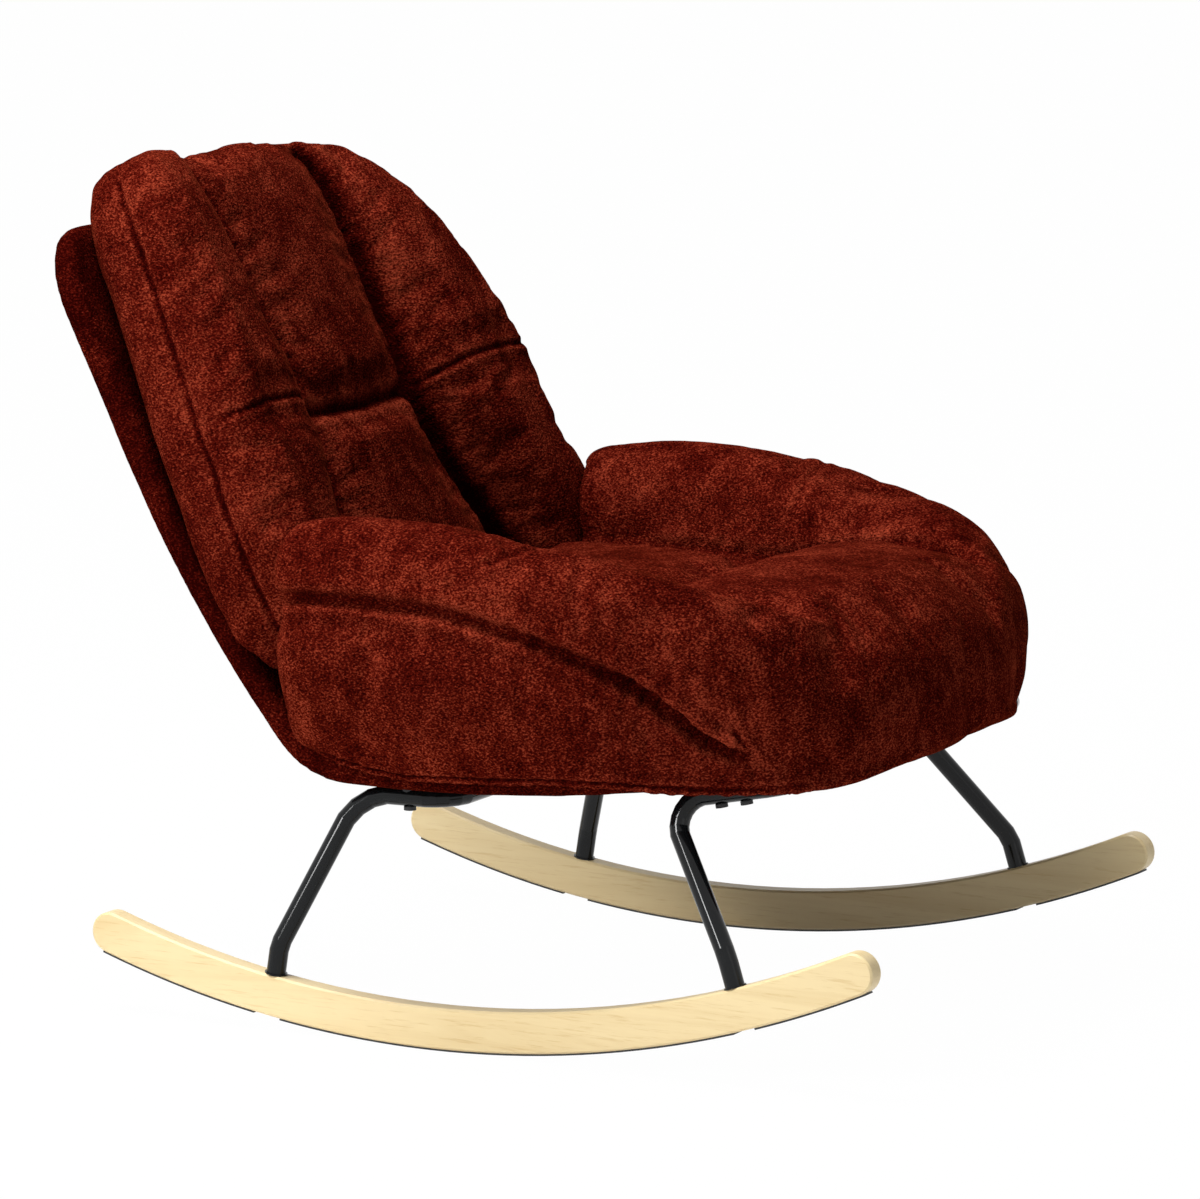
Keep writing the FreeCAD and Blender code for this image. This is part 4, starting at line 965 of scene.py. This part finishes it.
# %% Speckle and small finishes
def make_speckle_group():
    """Fine grit over slow clouds, as a mask and as a colour between two."""
    group, given, put_out, place = new_group("speckle", {"First": (0.5, 0.5, 0.5), "Second": (0.5, 0.5, 0.5)},
                                             {"Scale": 300.0},
                                             {"Color": "NodeSocketColor", "Mask": "NodeSocketFloat"})
    grit = node(group, "ShaderNodeTexNoise", {"Vector": place, "Scale": given["Scale"], "Detail": 3.0})
    mask = weighed(group, grit.outputs["Fac"], 0.6, noise_of(group, place, 14.0, 2.0), 0.4)
    group.links.new(blend(group, mask, given["First"], given["Second"]), put_out["Color"])
    group.links.new(mask, put_out["Mask"])
    return group


def make_speckled(name, first, second, scale, roughness, height, **constants):
    material, tree, shader = new_material(name, **constants)
    speckle = use_group(tree, speckle_group, {"First": first, "Second": second}, {"Scale": scale})
    tree.links.new(speckle.outputs["Color"], shader.inputs["Base Color"])
    rough = ranged(tree, speckle.outputs["Mask"], 0.3, 0.7, *roughness)
    tree.links.new(rough, shader.inputs["Roughness"])
    bump_into(tree, shader, speckle.outputs["Mask"], height, 0.6)
    return material


speckle_group = make_speckle_group()
black_paint = make_speckled("black_paint", (0.004, 0.0045, 0.005), (0.008, 0.009, 0.010), 700.0,
                            (0.07, 0.11), 0.00002, Specular_IOR_Level=0.22)
black_strip = make_speckled("black_strip", (0.008, 0.008, 0.009), (0.016, 0.016, 0.017), 500.0,
                            (0.50, 0.65), 0.0001)
zinc = make_speckled("zinc_plate", (0.30, 0.31, 0.32), (0.45, 0.46, 0.47), 260.0,
                     (0.28, 0.42), 0.00005, Metallic=1.0)
foam = make_speckled("foam", (0.70, 0.66, 0.52), (0.80, 0.77, 0.64), 900.0, (0.9, 0.98), 0.0006)
grip_tape = make_speckled("grip_tape", (0.010, 0.010, 0.011), (0.03, 0.03, 0.032), 1100.0,
                          (0.85, 0.95), 0.0008)
print("materials:", *(m.name for m in (black_paint, black_strip, zinc, foam, grip_tape)))

# %% [markdown]
# Every node of the frame keeps its shape and gets a finish by the start of its name. What the list
# doesn't name is zinc hardware: the bolts, washers and nuts that are hidden in the wood and board.

# %% Dress the frame
FINISHES = (("rocker_right", rubberwood), ("rocker_left", rubberwood), ("glide_strip", black_strip),
            ("rear_leg_frame", black_paint), ("front_leg_frame", black_paint), ("foot_flanges", black_paint),
            ("leg_end_plugs", black_strip), ("frame_bolts", black_strip), ("saddle_washers", black_strip),
            ("shell_core", plywood), ("back_foam", foam), ("seat_foam", foam),
            ("seat_hook_strips", grip_tape), ("seat_loop_strips", grip_tape),
            ("back_hook_strips", grip_tape), ("back_loop_strips", grip_tape),
            ("shell_cover", painted_shade_chenille), ("back_cushion", chenille), ("seat_cushion", chenille))


def finish_of(name):
    for start, material in FINISHES:
        if name.startswith(start):
            return material
    return zinc


for name, obj in nodes.items():
    obj.data.materials.clear()
    obj.data.materials.append(finish_of(name))
print("dressed", len(nodes), "nodes")

# %% [markdown]
# The three soft pieces take the place of their plain solids and ride on the chair's one body.

# %% Place the soft pieces
for pad, replaced, cover in ((shell_pad, "shell_cover", painted_shade_chenille), (back_pad, "back_cushion", chenille),
                             (seat_pad, "seat_cushion", chenille)):
    pad.data.materials.clear()
    pad.data.materials.append(cover)
    pad.data.polygons.foreach_set("use_smooth", [True] * len(pad.data.polygons))
    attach(pad, "root")
    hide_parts(replaced)
    low, high = points_of(pad).min(axis=0), points_of(pad).max(axis=0)
    print(pad.name, [round(v, 3) for v in low], [round(v, 3) for v in high])

# %% [markdown]
# The photograph has a plain white ground. The floor and the world look white to the camera and in
# reflections, through Light Path, while the light that they give the chair stays plain. A share of
# the floor's own shading is kept, so the chair's shadow stays.

# %% Floor and world
def seen_directly(tree):
    """1 for camera, glossy and transmission rays, 0 for the light that falls on things."""
    path = node(tree, "ShaderNodeLightPath")
    sharp = math_of(tree, "MAXIMUM", path.outputs["Is Glossy Ray"], path.outputs["Is Transmission Ray"])
    return math_of(tree, "MAXIMUM", path.outputs["Is Camera Ray"], sharp)


FLOOR_HALF = 12.0
WHITE_SHARE = 0.99


def white_floor():
    mesh = bpy.data.meshes.new("floor")
    h = FLOOR_HALF
    mesh.from_pydata([(-h, -h, 0), (h, -h, 0), (h, h, 0), (-h, h, 0)], [], [(0, 1, 2, 3)])
    floor = bpy.data.objects.new("floor", mesh)
    bpy.context.scene.collection.objects.link(floor)
    material, tree, shader = new_material("white_floor", 0.9, Base_Color=(0.88, 0.88, 0.88, 1.0))
    glow = node(tree, "ShaderNodeEmission", {"Color": (1.0, 1.0, 1.0, 1.0), "Strength": 1.0})
    share = math_of(tree, "MULTIPLY", seen_directly(tree), WHITE_SHARE)
    mix = node(tree, "ShaderNodeMixShader", {0: share, 1: shader.outputs[0], 2: glow.outputs[0]})
    tree.links.new(mix.outputs[0], tree.nodes["Material Output"].inputs["Surface"])
    floor.data.materials.append(material)


AMBIENT = 0.13


def white_world():
    world = bpy.data.worlds.new("studio")
    bpy.context.scene.world = world
    world.use_nodes = True
    tree = world.node_tree
    background = tree.nodes["Background"]
    background.inputs["Color"].default_value = (1.0, 1.0, 1.0, 1.0)
    strength = ranged(tree, seen_directly(tree), 0.0, 1.0, AMBIENT, 1.0)
    tree.links.new(strength, background.inputs["Strength"])


white_floor()
white_world()
print("floor", 2 * FLOOR_HALF, "m wide, world light", AMBIENT)

# %% [markdown]
# Three soft boxes light the chair at a plain level. The key stands low on the camera's left, which
# shows the near lobe and the rolls. A second hangs above and a little behind, so the seat and arms
# are lighter than the back's front. A faint one in front opens the shadows. Sun lamps would be
# simpler, but their hard shadows don't suit a studio picture.

# %% Lamps
def soft_box(name, location, size, power):
    data = bpy.data.lights.new(name, "AREA")
    data.shape = "RECTANGLE"
    data.size = data.size_y = size
    data.energy = power
    lamp = bpy.data.objects.new(name, data)
    lamp.location = location
    lamp.rotation_euler = (TARGET - Vector(location)).to_track_quat("-Z", "Y").to_euler()
    bpy.context.scene.collection.objects.link(lamp)


soft_box("key_light", (-1.3, -3.55, 2.2), 1.0, 100.0)
soft_box("top_light", (-0.7, -0.6, 3.3), 1.4, 118.0)
soft_box("front_light", (3.0, -1.5, 1.5), 1.6, 4.0)
bpy.context.scene.view_settings.view_transform = "Standard"
